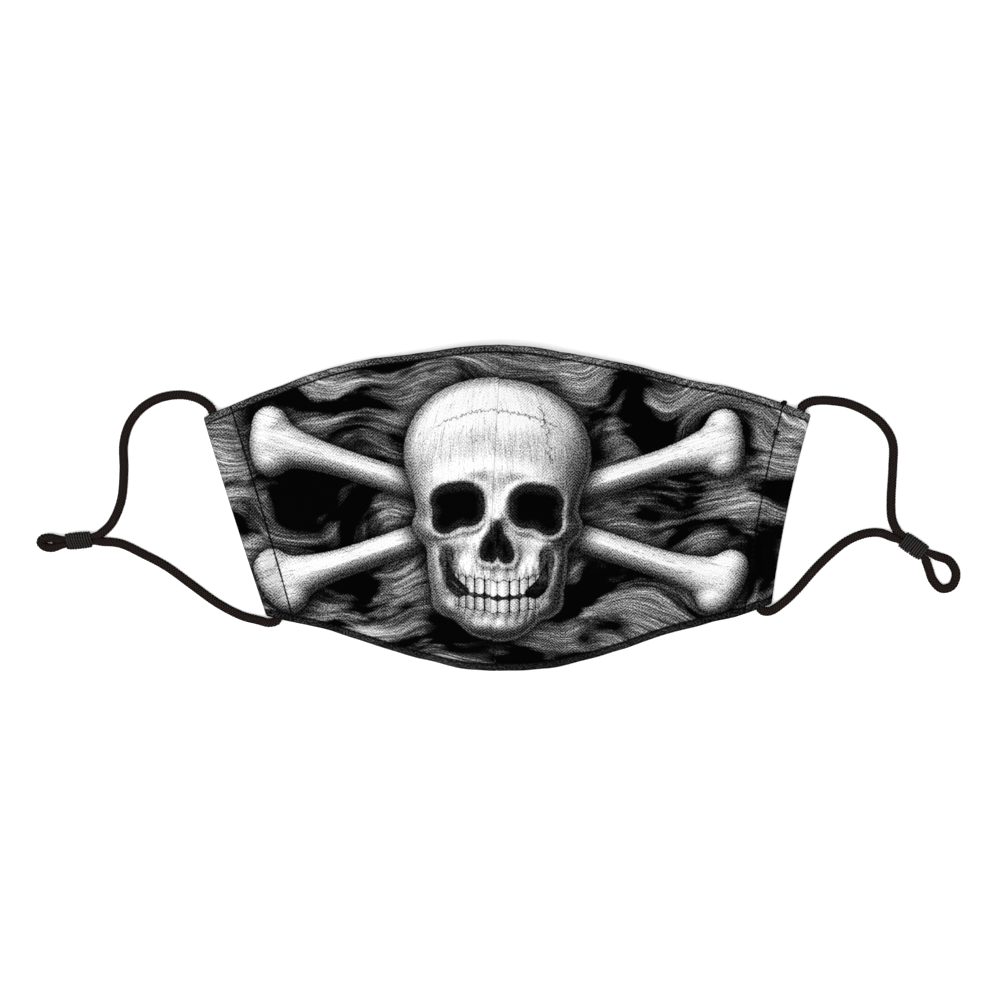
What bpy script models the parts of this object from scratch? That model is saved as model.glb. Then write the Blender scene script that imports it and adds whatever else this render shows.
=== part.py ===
"""A contoured cloth face mask that lies on its inner side, with a corded ear loop at each end.

Two cupped cloth halves meet on a seam that runs from the nose edge (+Y) to the chin edge (-Y).
Each half is turned under at its side, and an elastic cord runs through the tunnel that this makes.
The cord leaves both mouths of the tunnel, and a wound adjuster grips it short of a small end loop.
"""

import math
from collections import namedtuple

import bmesh
import bpy
from mathutils import Vector

# Sizes of the cloth, in metres.
CLOTH_THICKNESS = 0.0012
HEM_THICKNESS = 0.0017
HEM_WIDTH = 0.0028
GROOVE_THICKNESS = 0.0009
TOUCHING_GAP = 0.0003
SEAM_GAP = 0.0004

# Sizes of the mask as it lies, seen from above.
MASK_HEIGHT = 0.1224
LEFT_NOSE_WIDTH = 0.1128
RIGHT_NOSE_WIDTH = 0.1176
LEFT_CHIN_WIDTH = 0.0874
RIGHT_CHIN_WIDTH = 0.1042
LEFT_NOSE_DROP = 0.0272
RIGHT_NOSE_DROP = 0.0261
LEFT_CHIN_RISE = 0.0204
RIGHT_CHIN_RISE = 0.0249
LEFT_SIDE_HOLLOW = -0.0004
RIGHT_SIDE_HOLLOW = 0.0015
CHIN_OFFSET = 0.0015
SEAM_LEAN = 0.0028
RIDGE_HEIGHT = 0.0340
RIDGE_POWER = 1.7

# The ear cords, their tunnels and their adjusters.
CORD_DIAMETER = 0.0032
SQUEEZED_DIAMETER = 0.0022
CORD_PLAY = 0.0016
TUNNEL_WIDTH = 0.0106
TUNNEL_ALLOWANCE = 0.0016
CORD_END_DEPTH = 0.0240
CORD_END_GAP = 0.0010
SURFACE_GAP = 0.0001
STRAND_GAP = 0.0003
ADJUSTER_CLEARANCE = 0.0003
WINDING_DIAMETER = 0.0008
WINDING_VALLEY = 0.72
WINDING_TURNS = 12

# How finely the cloth and the cords are drawn.
PANEL_COLUMNS = 15
TUNNEL_COLUMNS = 6
FOLD_COLUMNS = 6
FLAP_COLUMNS = 2
PANEL_ROWS = 20
CORD_BEVEL_RESOLUTION = 2
STRAND_POINTS = 4
ROUTE_SAMPLES = 2
ADJUSTER_ARC_POINTS = 7
ADJUSTER_SHARP_ANGLE = math.radians(60)
WELD_DISTANCE = 1e-6

# The outline of each half, from the seam (across 0) to the side edge (across 1).
# nose_drop and chin_rise are shares of the drop and rise at the half's two corners.
EdgeRow = namedtuple("EdgeRow", "across nose_drop chin_rise")
LEFT_EDGE = (
    EdgeRow(0.00, 0.000, 0.000),
    EdgeRow(0.10, 0.017, 0.010),
    EdgeRow(0.20, 0.066, 0.083),
    EdgeRow(0.30, 0.124, 0.187),
    EdgeRow(0.45, 0.193, 0.352),
    EdgeRow(0.60, 0.348, 0.550),
    EdgeRow(0.75, 0.570, 0.743),
    EdgeRow(0.88, 0.777, 0.866),
    EdgeRow(1.00, 1.000, 1.000),
)
RIGHT_EDGE = (
    EdgeRow(0.00, 0.000, 0.000),
    EdgeRow(0.10, 0.029, 0.003),
    EdgeRow(0.20, 0.104, 0.038),
    EdgeRow(0.30, 0.177, 0.128),
    EdgeRow(0.45, 0.311, 0.298),
    EdgeRow(0.60, 0.483, 0.516),
    EdgeRow(0.75, 0.609, 0.677),
    EdgeRow(0.88, 0.781, 0.812),
    EdgeRow(1.00, 1.000, 1.000),
)

# The seam, from the nose edge (down 0) to the chin edge (down 1). height is a share of
# RIDGE_HEIGHT, lean of SEAM_LEAN, and crest says how sharp the ridge is.
SeamRow = namedtuple("SeamRow", "down height lean crest")
SEAM = (
    SeamRow(0.00, 0.40, 0.00, 0.55),
    SeamRow(0.12, 0.62, 0.20, 0.45),
    SeamRow(0.30, 0.88, 0.55, 0.28),
    SeamRow(0.50, 1.00, 0.85, 0.20),
    SeamRow(0.70, 0.94, 1.00, 0.25),
    SeamRow(0.88, 0.66, 0.75, 0.40),
    SeamRow(1.00, 0.34, 0.00, 0.50),
)

# Soft dents (below 0) and swells (above 0) in the cloth. across and down give the middle,
# the reaches give its size as shares of the half, and lift is a share of RIDGE_HEIGHT.
DentRow = namedtuple("DentRow", "across down reach_across reach_down lift")
LEFT_DENTS = (
    DentRow(0.36, 0.93, 0.10, 0.22, 0.060),
    DentRow(0.60, 0.90, 0.09, 0.20, -0.040),
    DentRow(0.46, 0.10, 0.10, 0.20, -0.050),
    DentRow(0.68, 0.22, 0.12, 0.25, 0.040),
)
RIGHT_DENTS = (
    DentRow(0.42, 0.94, 0.10, 0.22, -0.045),
    DentRow(0.62, 0.92, 0.08, 0.20, 0.070),
    DentRow(0.30, 0.08, 0.10, 0.18, -0.030),
    DentRow(0.66, 0.14, 0.10, 0.22, 0.055),
)

# The cords' own routes on the surface, measured from the middle of the mask's side edge.
# lift is how far the cord is held above the surface.
RoutePoint = namedtuple("RoutePoint", "x y lift", defaults=(0.0,))
LEFT_UPPER_LEG = (
    RoutePoint(-0.0105, 0.0426, 0.0010),
    RoutePoint(-0.0151, 0.0452, 0.0002),
    RoutePoint(-0.0214, 0.0462),
    RoutePoint(-0.0289, 0.0449),
    RoutePoint(-0.0354, 0.0411),
    RoutePoint(-0.0401, 0.0351),
    RoutePoint(-0.0423, 0.0273),
    RoutePoint(-0.0422, 0.0174),
    RoutePoint(-0.0431, 0.0067),
    RoutePoint(-0.0464, -0.0018),
    RoutePoint(-0.0508, -0.0064, 0.0010),
)
LEFT_END_LOOP = (
    RoutePoint(-0.0671, -0.0086, 0.0024),
    RoutePoint(-0.0697, -0.0080, 0.0032),
    RoutePoint(-0.0724, -0.0084, 0.0032),
    RoutePoint(-0.0735, -0.0099, 0.0014),
    RoutePoint(-0.0720, -0.0114, 0.0001),
    RoutePoint(-0.0694, -0.0118),
    RoutePoint(-0.0669, -0.0110, 0.0002),
)
LEFT_LOWER_LEG = (
    RoutePoint(-0.0505, -0.0095),
    RoutePoint(-0.0432, -0.0103),
    RoutePoint(-0.0350, -0.0141),
    RoutePoint(-0.0260, -0.0189),
    RoutePoint(-0.0166, -0.0257),
    RoutePoint(-0.0072, -0.0325),
    RoutePoint(0.0018, -0.0373),
    RoutePoint(0.0086, -0.0392, 0.0005),
    RoutePoint(0.0135, -0.0402, 0.0014),
)
RIGHT_UPPER_LEG = (
    RoutePoint(0.0050, 0.0396, 0.0010),
    RoutePoint(0.0090, 0.0411, 0.0002),
    RoutePoint(0.0149, 0.0412),
    RoutePoint(0.0220, 0.0400),
    RoutePoint(0.0290, 0.0368),
    RoutePoint(0.0350, 0.0319),
    RoutePoint(0.0386, 0.0250),
    RoutePoint(0.0386, 0.0155),
    RoutePoint(0.0380, 0.0050),
    RoutePoint(0.0382, -0.0030),
    RoutePoint(0.0401, -0.0078, 0.0003),
)
RIGHT_END_LOOP = (
    RoutePoint(0.0552, -0.0177),
    RoutePoint(0.0600, -0.0196),
    RoutePoint(0.0626, -0.0242),
    RoutePoint(0.0612, -0.0289),
    RoutePoint(0.0572, -0.0301),
    RoutePoint(0.0539, -0.0270),
    RoutePoint(0.0524, -0.0230),
    RoutePoint(0.0512, -0.0196),
)
RIGHT_LOWER_LEG = (
    RoutePoint(0.0381, -0.0105),
    RoutePoint(0.0334, -0.0089),
    RoutePoint(0.0276, -0.0094),
    RoutePoint(0.0210, -0.0122),
    RoutePoint(0.0145, -0.0174),
    RoutePoint(0.0086, -0.0232),
    RoutePoint(0.0027, -0.0300),
    RoutePoint(-0.0027, -0.0352, 0.0002),
    RoutePoint(-0.0084, -0.0387, 0.0013),
)

# How far down the tunnel the returning cord's points lie: at the chin mouth, and further in.
CHIN_MOUTH_DOWN = 0.99
TUNNEL_STOPS = (0.86, 0.60)

# Each adjuster lies between two points of the surface, measured as the routes are. roll
# turns the cord's two strands about the adjuster's own line, in degrees.
Adjuster = namedtuple("Adjuster", "mask_end loop_end roll")
LEFT_ADJUSTER = Adjuster((-0.0540, -0.0085), (-0.0643, -0.0096), 35.0)
RIGHT_ADJUSTER = Adjuster((0.0420, -0.0110), (0.0507, -0.0170), 0.0)

Half = namedtuple(
    "Half",
    "name side nose_width chin_width nose_drop chin_rise side_hollow edge dents "
    "upper_leg end_loop lower_leg adjuster",
)
LEFT = Half(
    name="left",
    side=-1,
    nose_width=LEFT_NOSE_WIDTH,
    chin_width=LEFT_CHIN_WIDTH,
    nose_drop=LEFT_NOSE_DROP,
    chin_rise=LEFT_CHIN_RISE,
    side_hollow=LEFT_SIDE_HOLLOW,
    edge=LEFT_EDGE,
    dents=LEFT_DENTS,
    upper_leg=LEFT_UPPER_LEG,
    end_loop=LEFT_END_LOOP,
    lower_leg=LEFT_LOWER_LEG,
    adjuster=LEFT_ADJUSTER,
)
RIGHT = Half(
    name="right",
    side=1,
    nose_width=RIGHT_NOSE_WIDTH,
    chin_width=RIGHT_CHIN_WIDTH,
    nose_drop=RIGHT_NOSE_DROP,
    chin_rise=RIGHT_CHIN_RISE,
    side_hollow=RIGHT_SIDE_HOLLOW,
    edge=RIGHT_EDGE,
    dents=RIGHT_DENTS,
    upper_leg=RIGHT_UPPER_LEG,
    end_loop=RIGHT_END_LOOP,
    lower_leg=RIGHT_LOWER_LEG,
    adjuster=RIGHT_ADJUSTER,
)

# Heights and places that follow from the sizes above.
TUNNEL_CLEAR_HEIGHT = CORD_DIAMETER + 2 * TOUCHING_GAP
FLAP_LEVEL = CLOTH_THICKNESS / 2
STITCH_LEVEL = CLOTH_THICKNESS + TOUCHING_GAP + CLOTH_THICKNESS / 2
TUNNEL_TOP_LEVEL = CLOTH_THICKNESS + TUNNEL_CLEAR_HEIGHT + CLOTH_THICKNESS / 2
FOLD_RADIUS = (TUNNEL_TOP_LEVEL - FLAP_LEVEL) / 2
FOLD_CENTRE = FOLD_RADIUS + CLOTH_THICKNESS / 2
CORD_LEVEL_IN_TUNNEL = CLOTH_THICKNESS + TUNNEL_CLEAR_HEIGHT / 2
STRAND_SPACING = SQUEEZED_DIAMETER + STRAND_GAP
SEAM_NOSE_X = (LEFT_NOSE_WIDTH - RIGHT_NOSE_WIDTH) / 2


def smooth_value(rows, key, column, at):
    """The named column at a place between the rows, on a smooth curve through them."""
    places = [getattr(row, key) for row in rows]
    values = [getattr(row, column) for row in rows]
    last = len(rows) - 1
    at = min(max(at, places[0]), places[-1])
    i = next(n for n in range(last) if at <= places[n + 1])

    def slope(n):
        before, after = max(n - 1, 0), min(n + 1, last)
        return (values[after] - values[before]) / (places[after] - places[before])

    span = places[i + 1] - places[i]
    t = (at - places[i]) / span
    return (
        (2 * t**3 - 3 * t**2 + 1) * values[i]
        + (t**3 - 2 * t**2 + t) * span * slope(i)
        + (3 * t**2 - 2 * t**3) * values[i + 1]
        + (t**3 - t**2) * span * slope(i + 1)
    )


def plan_point(half, across, down):
    """Where a point of the half lies, seen from above."""
    nose = Vector((
        SEAM_NOSE_X + half.side * half.nose_width * across,
        MASK_HEIGHT / 2 - half.nose_drop * smooth_value(half.edge, "across", "nose_drop", across),
    ))
    chin = Vector((
        SEAM_NOSE_X - CHIN_OFFSET + half.side * half.chin_width * across,
        -MASK_HEIGHT / 2 + half.chin_rise * smooth_value(half.edge, "across", "chin_rise", across),
    ))
    lean = SEAM_LEAN * smooth_value(SEAM, "down", "lean", down) * (1 - across) ** 2
    hollow = half.side * half.side_hollow * across**2 * 4 * down * (1 - down)
    point = nose.lerp(chin, down)
    return Vector((point.x - lean - hollow, point.y))


def row_width(half, down):
    """The plan distance from the seam to the side edge."""
    return (plan_point(half, 1, down) - plan_point(half, 0, down)).length


def column_height(half, across):
    """The plan distance from the nose edge to the chin edge."""
    return (plan_point(half, across, 0) - plan_point(half, across, 1)).length


def dome_level(half, share, across, down):
    """Height of the cloth's middle at a share of the way from the seam to the tunnel's stitching."""
    crest = smooth_value(SEAM, "down", "crest", down)
    ridge = RIDGE_HEIGHT * smooth_value(SEAM, "down", "height", down)
    bell = (1 - crest) * (1 + math.cos(math.pi * share)) / 2 + crest * (1 - share) ** RIDGE_POWER
    held = (1 - share) * share * 4
    dents = sum(
        row.lift
        * math.exp(-(((across - row.across) / row.reach_across) ** 2))
        * math.exp(-(((down - row.down) / row.reach_down) ** 2))
        for row in half.dents
    )
    return STITCH_LEVEL + (ridge - STITCH_LEVEL) * bell + RIDGE_HEIGHT * dents * held


def tunnel_level(inset):
    """Height of the cloth's middle over the cord, at a distance in from the side edge."""
    plateau = FOLD_CENTRE + CORD_PLAY
    t = min(max((inset - plateau) / (TUNNEL_WIDTH - plateau), 0), 1)
    return TUNNEL_TOP_LEVEL + (STITCH_LEVEL - TUNNEL_TOP_LEVEL) * (3 * t**2 - 2 * t**3)


def section(half, down):
    """The cloth's middle line from the seam, over the tunnel, round the fold and back under it.

    Each entry is (across, level): a place seen from above and a height."""
    width = row_width(half, down)
    stitch = 1 - TUNNEL_WIDTH / width
    seam = SEAM_GAP / 2 / width
    line = []
    for i in range(PANEL_COLUMNS + 1):
        share = i / PANEL_COLUMNS
        across = seam + (stitch - seam) * share
        line.append((across, dome_level(half, share, across, down)))
    for i in range(1, TUNNEL_COLUMNS + 1):
        inset = TUNNEL_WIDTH + (FOLD_CENTRE - TUNNEL_WIDTH) * i / TUNNEL_COLUMNS
        line.append((1 - inset / width, tunnel_level(inset)))
    for i in range(1, FOLD_COLUMNS + 1):
        turn = math.pi * i / FOLD_COLUMNS
        inset = FOLD_CENTRE - FOLD_RADIUS * math.sin(turn)
        level = FLAP_LEVEL + FOLD_RADIUS * (1 + math.cos(turn))
        line.append((1 - inset / width, level))
    flap_end = TUNNEL_WIDTH + TUNNEL_ALLOWANCE
    for i in range(1, FLAP_COLUMNS + 1):
        inset = FOLD_CENTRE + (flap_end - FOLD_CENTRE) * i / FLAP_COLUMNS
        line.append((1 - inset / width, FLAP_LEVEL))
    return line


def hem_rows():
    """Each row of the grid as (share, inside): see row_down for what the two mean."""
    rows = [(0.0, 0.0), (0.0, 0.5)]
    rows += [(i / PANEL_ROWS, 1.0) for i in range(PANEL_ROWS + 1)]
    return rows + [(1.0, 0.5), (1.0, 0.0)]


def row_down(half, across, share, inside):
    """How far down the half a row lies.

    inside is 0 on the folded edge of a hem and 1 on its stitching. share runs from 0 at the
    nose hem's stitching to 1 at the chin hem's."""
    hem = HEM_WIDTH / column_height(half, across)
    if inside < 1:
        return hem * inside if share < 0.5 else 1 - hem * inside
    return hem + (1 - 2 * hem) * share


def add_panel(half):
    """One half of the mask: a grid bent to the section at each row, and given the cloth's thickness."""
    rows = hem_rows()
    columns = len(section(half, 0))
    shell = bmesh.new()
    bmesh.ops.create_grid(shell, x_segments=columns - 1, y_segments=len(rows) - 1, size=1)
    weights = {}
    for vertex in shell.verts:
        column = round((vertex.co.x + 1) / 2 * (columns - 1))
        share, inside = rows[round((vertex.co.y + 1) / 2 * (len(rows) - 1))]
        flat_across = section(half, share)[column][0]
        down = row_down(half, flat_across, share, inside)
        across, level = section(half, down)[column]
        place = plan_point(half, across, down)
        vertex.co = (place.x, place.y, level)
        weights[vertex.index] = cloth_share(column, share, inside)
    if half.side > 0:
        bmesh.ops.reverse_faces(shell, faces=shell.faces)
    name = half.name + "_panel"
    mesh = bpy.data.meshes.new(name)
    shell.to_mesh(mesh)
    shell.free()
    panel = add_object(name, mesh)
    group = panel.vertex_groups.new(name="thickness")
    for index, weight in weights.items():
        group.add([index], weight, "REPLACE")
    solidify = panel.modifiers.new("cloth", "SOLIDIFY")
    solidify.thickness = HEM_THICKNESS
    solidify.offset = 0
    solidify.vertex_group = group.name
    mesh.shade_smooth()
    return panel


def cloth_share(column, share, inside):
    """The cloth's thickness at a grid point, as a share of the hem's."""
    cloth = CLOTH_THICKNESS / HEM_THICKNESS
    if column >= PANEL_COLUMNS:
        return cloth
    if inside < 1:
        return 1.0
    on_stitching = share in (0.0, 1.0) or column == 0
    return GROOVE_THICKNESS / HEM_THICKNESS if on_stitching else cloth


def tunnel_point(half, down, inset):
    """The cord's middle in the tunnel, at a distance in from the side edge."""
    place = plan_point(half, 1 - inset / row_width(half, down), down)
    return Vector((place.x, place.y, CORD_LEVEL_IN_TUNNEL))


def tunnel_route(half):
    """The cord's stretches in the tunnel: from its own end to the nose mouth, and back from the chin."""
    rest = FOLD_CENTRE + CORD_PLAY / 2
    inner = rest + CORD_PLAY / 2
    length = (plan_point(half, 1, 0) - plan_point(half, 1, 1)).length
    end = CORD_END_DEPTH / length
    start = [tunnel_point(half, end * share, rest) for share in (1.0, 0.5, 0.0)]
    second_end = end + CORD_END_GAP / length
    back = [tunnel_point(half, CHIN_MOUTH_DOWN, inner)]
    back += [tunnel_point(half, down, rest) for down in (*TUNNEL_STOPS, second_end)]
    return start, back


def adjuster_frame(half):
    """The adjuster's middle, its direction away from the mask, and the way its strands lie apart."""
    origin = (plan_point(half, 1, 0) + plan_point(half, 1, 1)) / 2
    mask_end = origin + Vector(half.adjuster.mask_end)
    loop_end = origin + Vector(half.adjuster.loop_end)
    along = (loop_end - mask_end).normalized().to_3d()
    level = Vector((along.y, -along.x, 0)) * half.side * -1
    roll = math.radians(half.adjuster.roll)
    apart = level * math.cos(roll) + Vector((0, 0, math.sin(roll)))
    shell = ADJUSTER_CLEARANCE + WINDING_DIAMETER
    height = SQUEEZED_DIAMETER / 2 + shell + STRAND_SPACING / 2 * abs(math.sin(roll))
    middle = ((mask_end + loop_end) / 2).to_3d() + Vector((0, 0, height))
    return middle, along, apart, (loop_end - mask_end).length


def strand(half, which):
    """The cord inside the adjuster: which is 1 for the upper leg's strand and -1 for the lower's."""
    middle, along, apart, length = adjuster_frame(half)
    last = STRAND_POINTS - 1
    line = [middle + along * length * (i / last - 0.5) for i in range(STRAND_POINTS)]
    points = [place + apart * STRAND_SPACING / 2 * which for place in line]
    return points if which > 0 else points[::-1]


def leg(half, rows):
    """A stretch of the cord that lies on the surface."""
    origin = (plan_point(half, 1, 0) + plan_point(half, 1, 1)) / 2
    level = CORD_DIAMETER / 2 + SURFACE_GAP
    return [Vector((origin.x + row.x, origin.y + row.y, level + row.lift)) for row in rows]


def cord_route(half):
    """The whole cord as (point, thickness share) pairs, from one end in the tunnel to the other."""
    start, back = tunnel_route(half)
    squeezed = SQUEEZED_DIAMETER / CORD_DIAMETER
    stretches = (
        (start, 1.0),
        (leg(half, half.upper_leg), 1.0),
        (strand(half, 1), squeezed),
        (leg(half, half.end_loop), 1.0),
        (strand(half, -1), squeezed),
        (leg(half, half.lower_leg), 1.0),
        (back, 1.0),
    )
    return [(point, share) for points, share in stretches for point in points]


def smooth_route(route, samples):
    """Points read from a smooth curve through the route's own points."""
    ends = [route[0]] + route + [route[-1]]
    line = []
    for (a, _), (b, thick_b), (c, thick_c), (d, _) in zip(ends, ends[1:], ends[2:], ends[3:]):
        for i in range(samples):
            t = i / samples
            point = (
                (2 * b)
                + (c - a) * t
                + (2 * a - 5 * b + 4 * c - d) * t**2
                + (3 * b - a - 3 * c + d) * t**3
            ) / 2
            line.append((point, thick_b + (thick_c - thick_b) * t))
    return line + [route[-1]]


def add_cord(half):
    """The ear cord, a round elastic that thins where the adjuster grips it."""
    line = smooth_route(cord_route(half), ROUTE_SAMPLES)
    curve = bpy.data.curves.new(half.name + "_ear_cord", "CURVE")
    curve.dimensions = "3D"
    curve.bevel_depth = CORD_DIAMETER / 2
    curve.bevel_resolution = CORD_BEVEL_RESOLUTION
    curve.use_fill_caps = True
    spline = curve.splines.new("POLY")
    spline.points.add(len(line) - 1)
    for point, (place, thickness) in zip(spline.points, line):
        point.co = (*place, 1)
        point.radius = thickness
    return add_object(half.name + "_ear_cord", curve)


def stadium(half_length, radius):
    """A flat loop of two half circles, as (apart, up) pairs."""
    loop = []
    for side in (1, -1):
        for i in range(ADJUSTER_ARC_POINTS):
            turn = math.pi * (i / (ADJUSTER_ARC_POINTS - 1) - 0.5)
            loop.append((
                side * (half_length + radius * math.cos(turn)),
                side * radius * math.sin(turn),
            ))
    return loop


def adjuster_rings(length):
    """Each ring of the wound adjuster as (along, reach): out over the windings, back through the hole."""
    hole = SQUEEZED_DIAMETER / 2 + ADJUSTER_CLEARANCE
    crest, valley = hole + WINDING_DIAMETER, hole + WINDING_VALLEY * WINDING_DIAMETER
    pitch = length / WINDING_TURNS
    rings = [(-length / 2, valley)]
    for turn in range(WINDING_TURNS):
        rings.append((-length / 2 + pitch * (turn + 0.5), crest))
        rings.append((-length / 2 + pitch * (turn + 1), valley))
    return rings + [(length / 2, hole), (-length / 2, hole)]


def add_adjuster(half):
    """A sleeve of wound thread round both strands of the cord, with a hole that clears them."""
    middle, along, apart, length = adjuster_frame(half)
    up = apart.cross(along)
    rings = adjuster_rings(length)
    around = 2 * ADJUSTER_ARC_POINTS
    sleeve = bmesh.new()
    bmesh.ops.create_grid(sleeve, x_segments=around, y_segments=len(rings), size=1)
    for vertex in sleeve.verts:
        turn = round((vertex.co.x + 1) / 2 * around) % around
        place, reach = rings[round((vertex.co.y + 1) / 2 * len(rings)) % len(rings)]
        a, u = stadium(STRAND_SPACING / 2, reach)[turn]
        vertex.co = middle + along * place + apart * a + up * u
    bmesh.ops.remove_doubles(sleeve, verts=sleeve.verts, dist=WELD_DISTANCE)
    bmesh.ops.recalc_face_normals(sleeve, faces=sleeve.faces)
    mesh = bpy.data.meshes.new(half.name + "_adjuster")
    sleeve.to_mesh(mesh)
    sleeve.free()
    mesh.shade_smooth()
    mesh.set_sharp_from_angle(angle=ADJUSTER_SHARP_ANGLE)
    return add_object(half.name + "_adjuster", mesh)


def add_object(name, data):
    thing = bpy.data.objects.new(name, data)
    bpy.context.scene.collection.objects.link(thing)
    return thing


def add_material(name, colour, roughness):
    material = bpy.data.materials.new(name)
    material.use_nodes = True
    shader = material.node_tree.nodes["Principled BSDF"]
    shader.inputs["Base Color"].default_value = (*colour, 1)
    shader.inputs["Roughness"].default_value = roughness
    shader.inputs["Metallic"].default_value = 0
    return material


def main():
    for thing in list(bpy.data.objects):
        bpy.data.objects.remove(thing)
    cloth = add_material("printed_cloth", (0.10, 0.10, 0.11), 0.85)
    cord = add_material("elastic_cord", (0.012, 0.011, 0.011), 0.80)
    thread = add_material("winding_thread", (0.022, 0.022, 0.023), 0.60)
    for half in (LEFT, RIGHT):
        add_panel(half).data.materials.append(cloth)
        add_cord(half).data.materials.append(cord)
        add_adjuster(half).data.materials.append(thread)


main()
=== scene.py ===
"""The finish of a cloth skull mask: printed halves, ear cords, wound adjusters and stitches.

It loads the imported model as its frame, dresses it piece by piece and sets it on a pale floor.
"""

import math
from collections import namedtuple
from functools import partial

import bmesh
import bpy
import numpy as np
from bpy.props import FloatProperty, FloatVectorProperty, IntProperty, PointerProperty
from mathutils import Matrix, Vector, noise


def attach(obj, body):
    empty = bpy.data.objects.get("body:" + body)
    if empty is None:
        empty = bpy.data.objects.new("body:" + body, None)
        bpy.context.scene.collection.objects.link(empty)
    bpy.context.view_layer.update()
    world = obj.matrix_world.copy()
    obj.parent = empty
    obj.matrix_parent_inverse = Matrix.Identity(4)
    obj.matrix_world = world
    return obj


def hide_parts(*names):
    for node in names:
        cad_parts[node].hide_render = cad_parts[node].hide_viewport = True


bl_info = {
    "name": "Skull Mask Finish",
    "version": (1, 0, 0),
    "blender": (4, 5, 0),
    "location": "View3D > Sidebar > Skull Mask",
    "description": "Print, weave, hems, stitches, ear cords and adjusters for a cloth mask",
    "category": "Object",
}

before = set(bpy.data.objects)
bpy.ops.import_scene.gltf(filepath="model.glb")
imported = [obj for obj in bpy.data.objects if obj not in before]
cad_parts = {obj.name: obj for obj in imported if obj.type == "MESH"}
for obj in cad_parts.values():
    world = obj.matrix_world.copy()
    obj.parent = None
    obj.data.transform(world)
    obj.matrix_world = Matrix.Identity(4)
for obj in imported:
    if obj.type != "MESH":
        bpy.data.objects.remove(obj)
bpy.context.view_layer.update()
BODY = "root"
MM = 0.001

# Sizes of the cloth, in metres, as the solids have them.
CLOTH_THICKNESS = 0.0012
HEM_THICKNESS = 0.0017
HEM_WIDTH = 0.0028
GROOVE_THICKNESS = 0.0009
TOUCHING_GAP = 0.0003
SEAM_GAP = 0.00006
MASK_HEIGHT = 0.1224
LEFT_NOSE_WIDTH = 0.1128
RIGHT_NOSE_WIDTH = 0.1176
LEFT_CHIN_WIDTH = 0.0874
RIGHT_CHIN_WIDTH = 0.1042
LEFT_NOSE_DROP = 0.0272
RIGHT_NOSE_DROP = 0.0261
LEFT_CHIN_RISE = 0.0204
RIGHT_CHIN_RISE = 0.0249
LEFT_SIDE_HOLLOW = -0.0004
RIGHT_SIDE_HOLLOW = 0.0015
CHIN_OFFSET = 0.0015
SEAM_LEAN = 0.0028
RIDGE_HEIGHT = 0.0340
RIDGE_POWER = 1.7

# The ear cords, their tunnels and their adjusters.
CORD_DIAMETER = 0.0032
SQUEEZED_DIAMETER = 0.0022
CORD_PLAY = 0.0016
TUNNEL_WIDTH = 0.0106
TUNNEL_ALLOWANCE = 0.0016
CORD_END_DEPTH = 0.0240
CORD_END_GAP = 0.0010
SURFACE_GAP = 0.0001
STRAND_GAP = 0.0003
ADJUSTER_CLEARANCE = 0.0003
WINDING_DIAMETER = 0.0008
STRAND_POINTS = 4

# A strand of the braid keeps this share of its height where the strand under it has none.
BARE_STRAND_HEIGHT = 0.45

# The outline of each half, from the seam (across 0) to the side edge (across 1).
# nose_drop and chin_rise are shares of the drop and rise at the half's two corners.
EdgeRow = namedtuple("EdgeRow", "across nose_drop chin_rise")
LEFT_EDGE = (
    EdgeRow(0.00, 0.000, 0.000),
    EdgeRow(0.10, 0.017, 0.010),
    EdgeRow(0.20, 0.066, 0.083),
    EdgeRow(0.30, 0.124, 0.187),
    EdgeRow(0.45, 0.193, 0.352),
    EdgeRow(0.60, 0.348, 0.550),
    EdgeRow(0.75, 0.570, 0.743),
    EdgeRow(0.88, 0.777, 0.866),
    EdgeRow(1.00, 1.000, 1.000),
)
RIGHT_EDGE = (
    EdgeRow(0.00, 0.000, 0.000),
    EdgeRow(0.10, 0.029, 0.003),
    EdgeRow(0.20, 0.104, 0.038),
    EdgeRow(0.30, 0.177, 0.128),
    EdgeRow(0.45, 0.311, 0.298),
    EdgeRow(0.60, 0.483, 0.516),
    EdgeRow(0.75, 0.609, 0.677),
    EdgeRow(0.88, 0.781, 0.812),
    EdgeRow(1.00, 1.000, 1.000),
)

# The seam, from the nose edge (down 0) to the chin edge (down 1). height is a share of
# RIDGE_HEIGHT, lean of SEAM_LEAN, and crest says how sharp the ridge is.
SeamRow = namedtuple("SeamRow", "down height lean crest")
SEAM = (
    SeamRow(0.00, 0.40, 0.00, 0.55),
    SeamRow(0.12, 0.62, 0.20, 0.45),
    SeamRow(0.30, 0.88, 0.55, 0.28),
    SeamRow(0.50, 1.00, 0.85, 0.20),
    SeamRow(0.70, 0.94, 1.00, 0.25),
    SeamRow(0.88, 0.66, 0.75, 0.40),
    SeamRow(1.00, 0.34, 0.00, 0.50),
)

# Soft dents (below 0) and swells (above 0) in the cloth. across and down give the middle,
# the reaches give its size as shares of the half, and lift is a share of RIDGE_HEIGHT.
DentRow = namedtuple("DentRow", "across down reach_across reach_down lift")
LEFT_DENTS = (
    DentRow(0.36, 0.93, 0.10, 0.22, 0.060),
    DentRow(0.60, 0.90, 0.09, 0.20, -0.040),
    DentRow(0.46, 0.10, 0.10, 0.20, -0.050),
    DentRow(0.68, 0.22, 0.12, 0.25, 0.040),
)
RIGHT_DENTS = (
    DentRow(0.42, 0.94, 0.10, 0.22, -0.045),
    DentRow(0.62, 0.92, 0.08, 0.20, 0.070),
    DentRow(0.30, 0.08, 0.10, 0.18, -0.030),
    DentRow(0.66, 0.14, 0.10, 0.22, 0.055),
)

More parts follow.
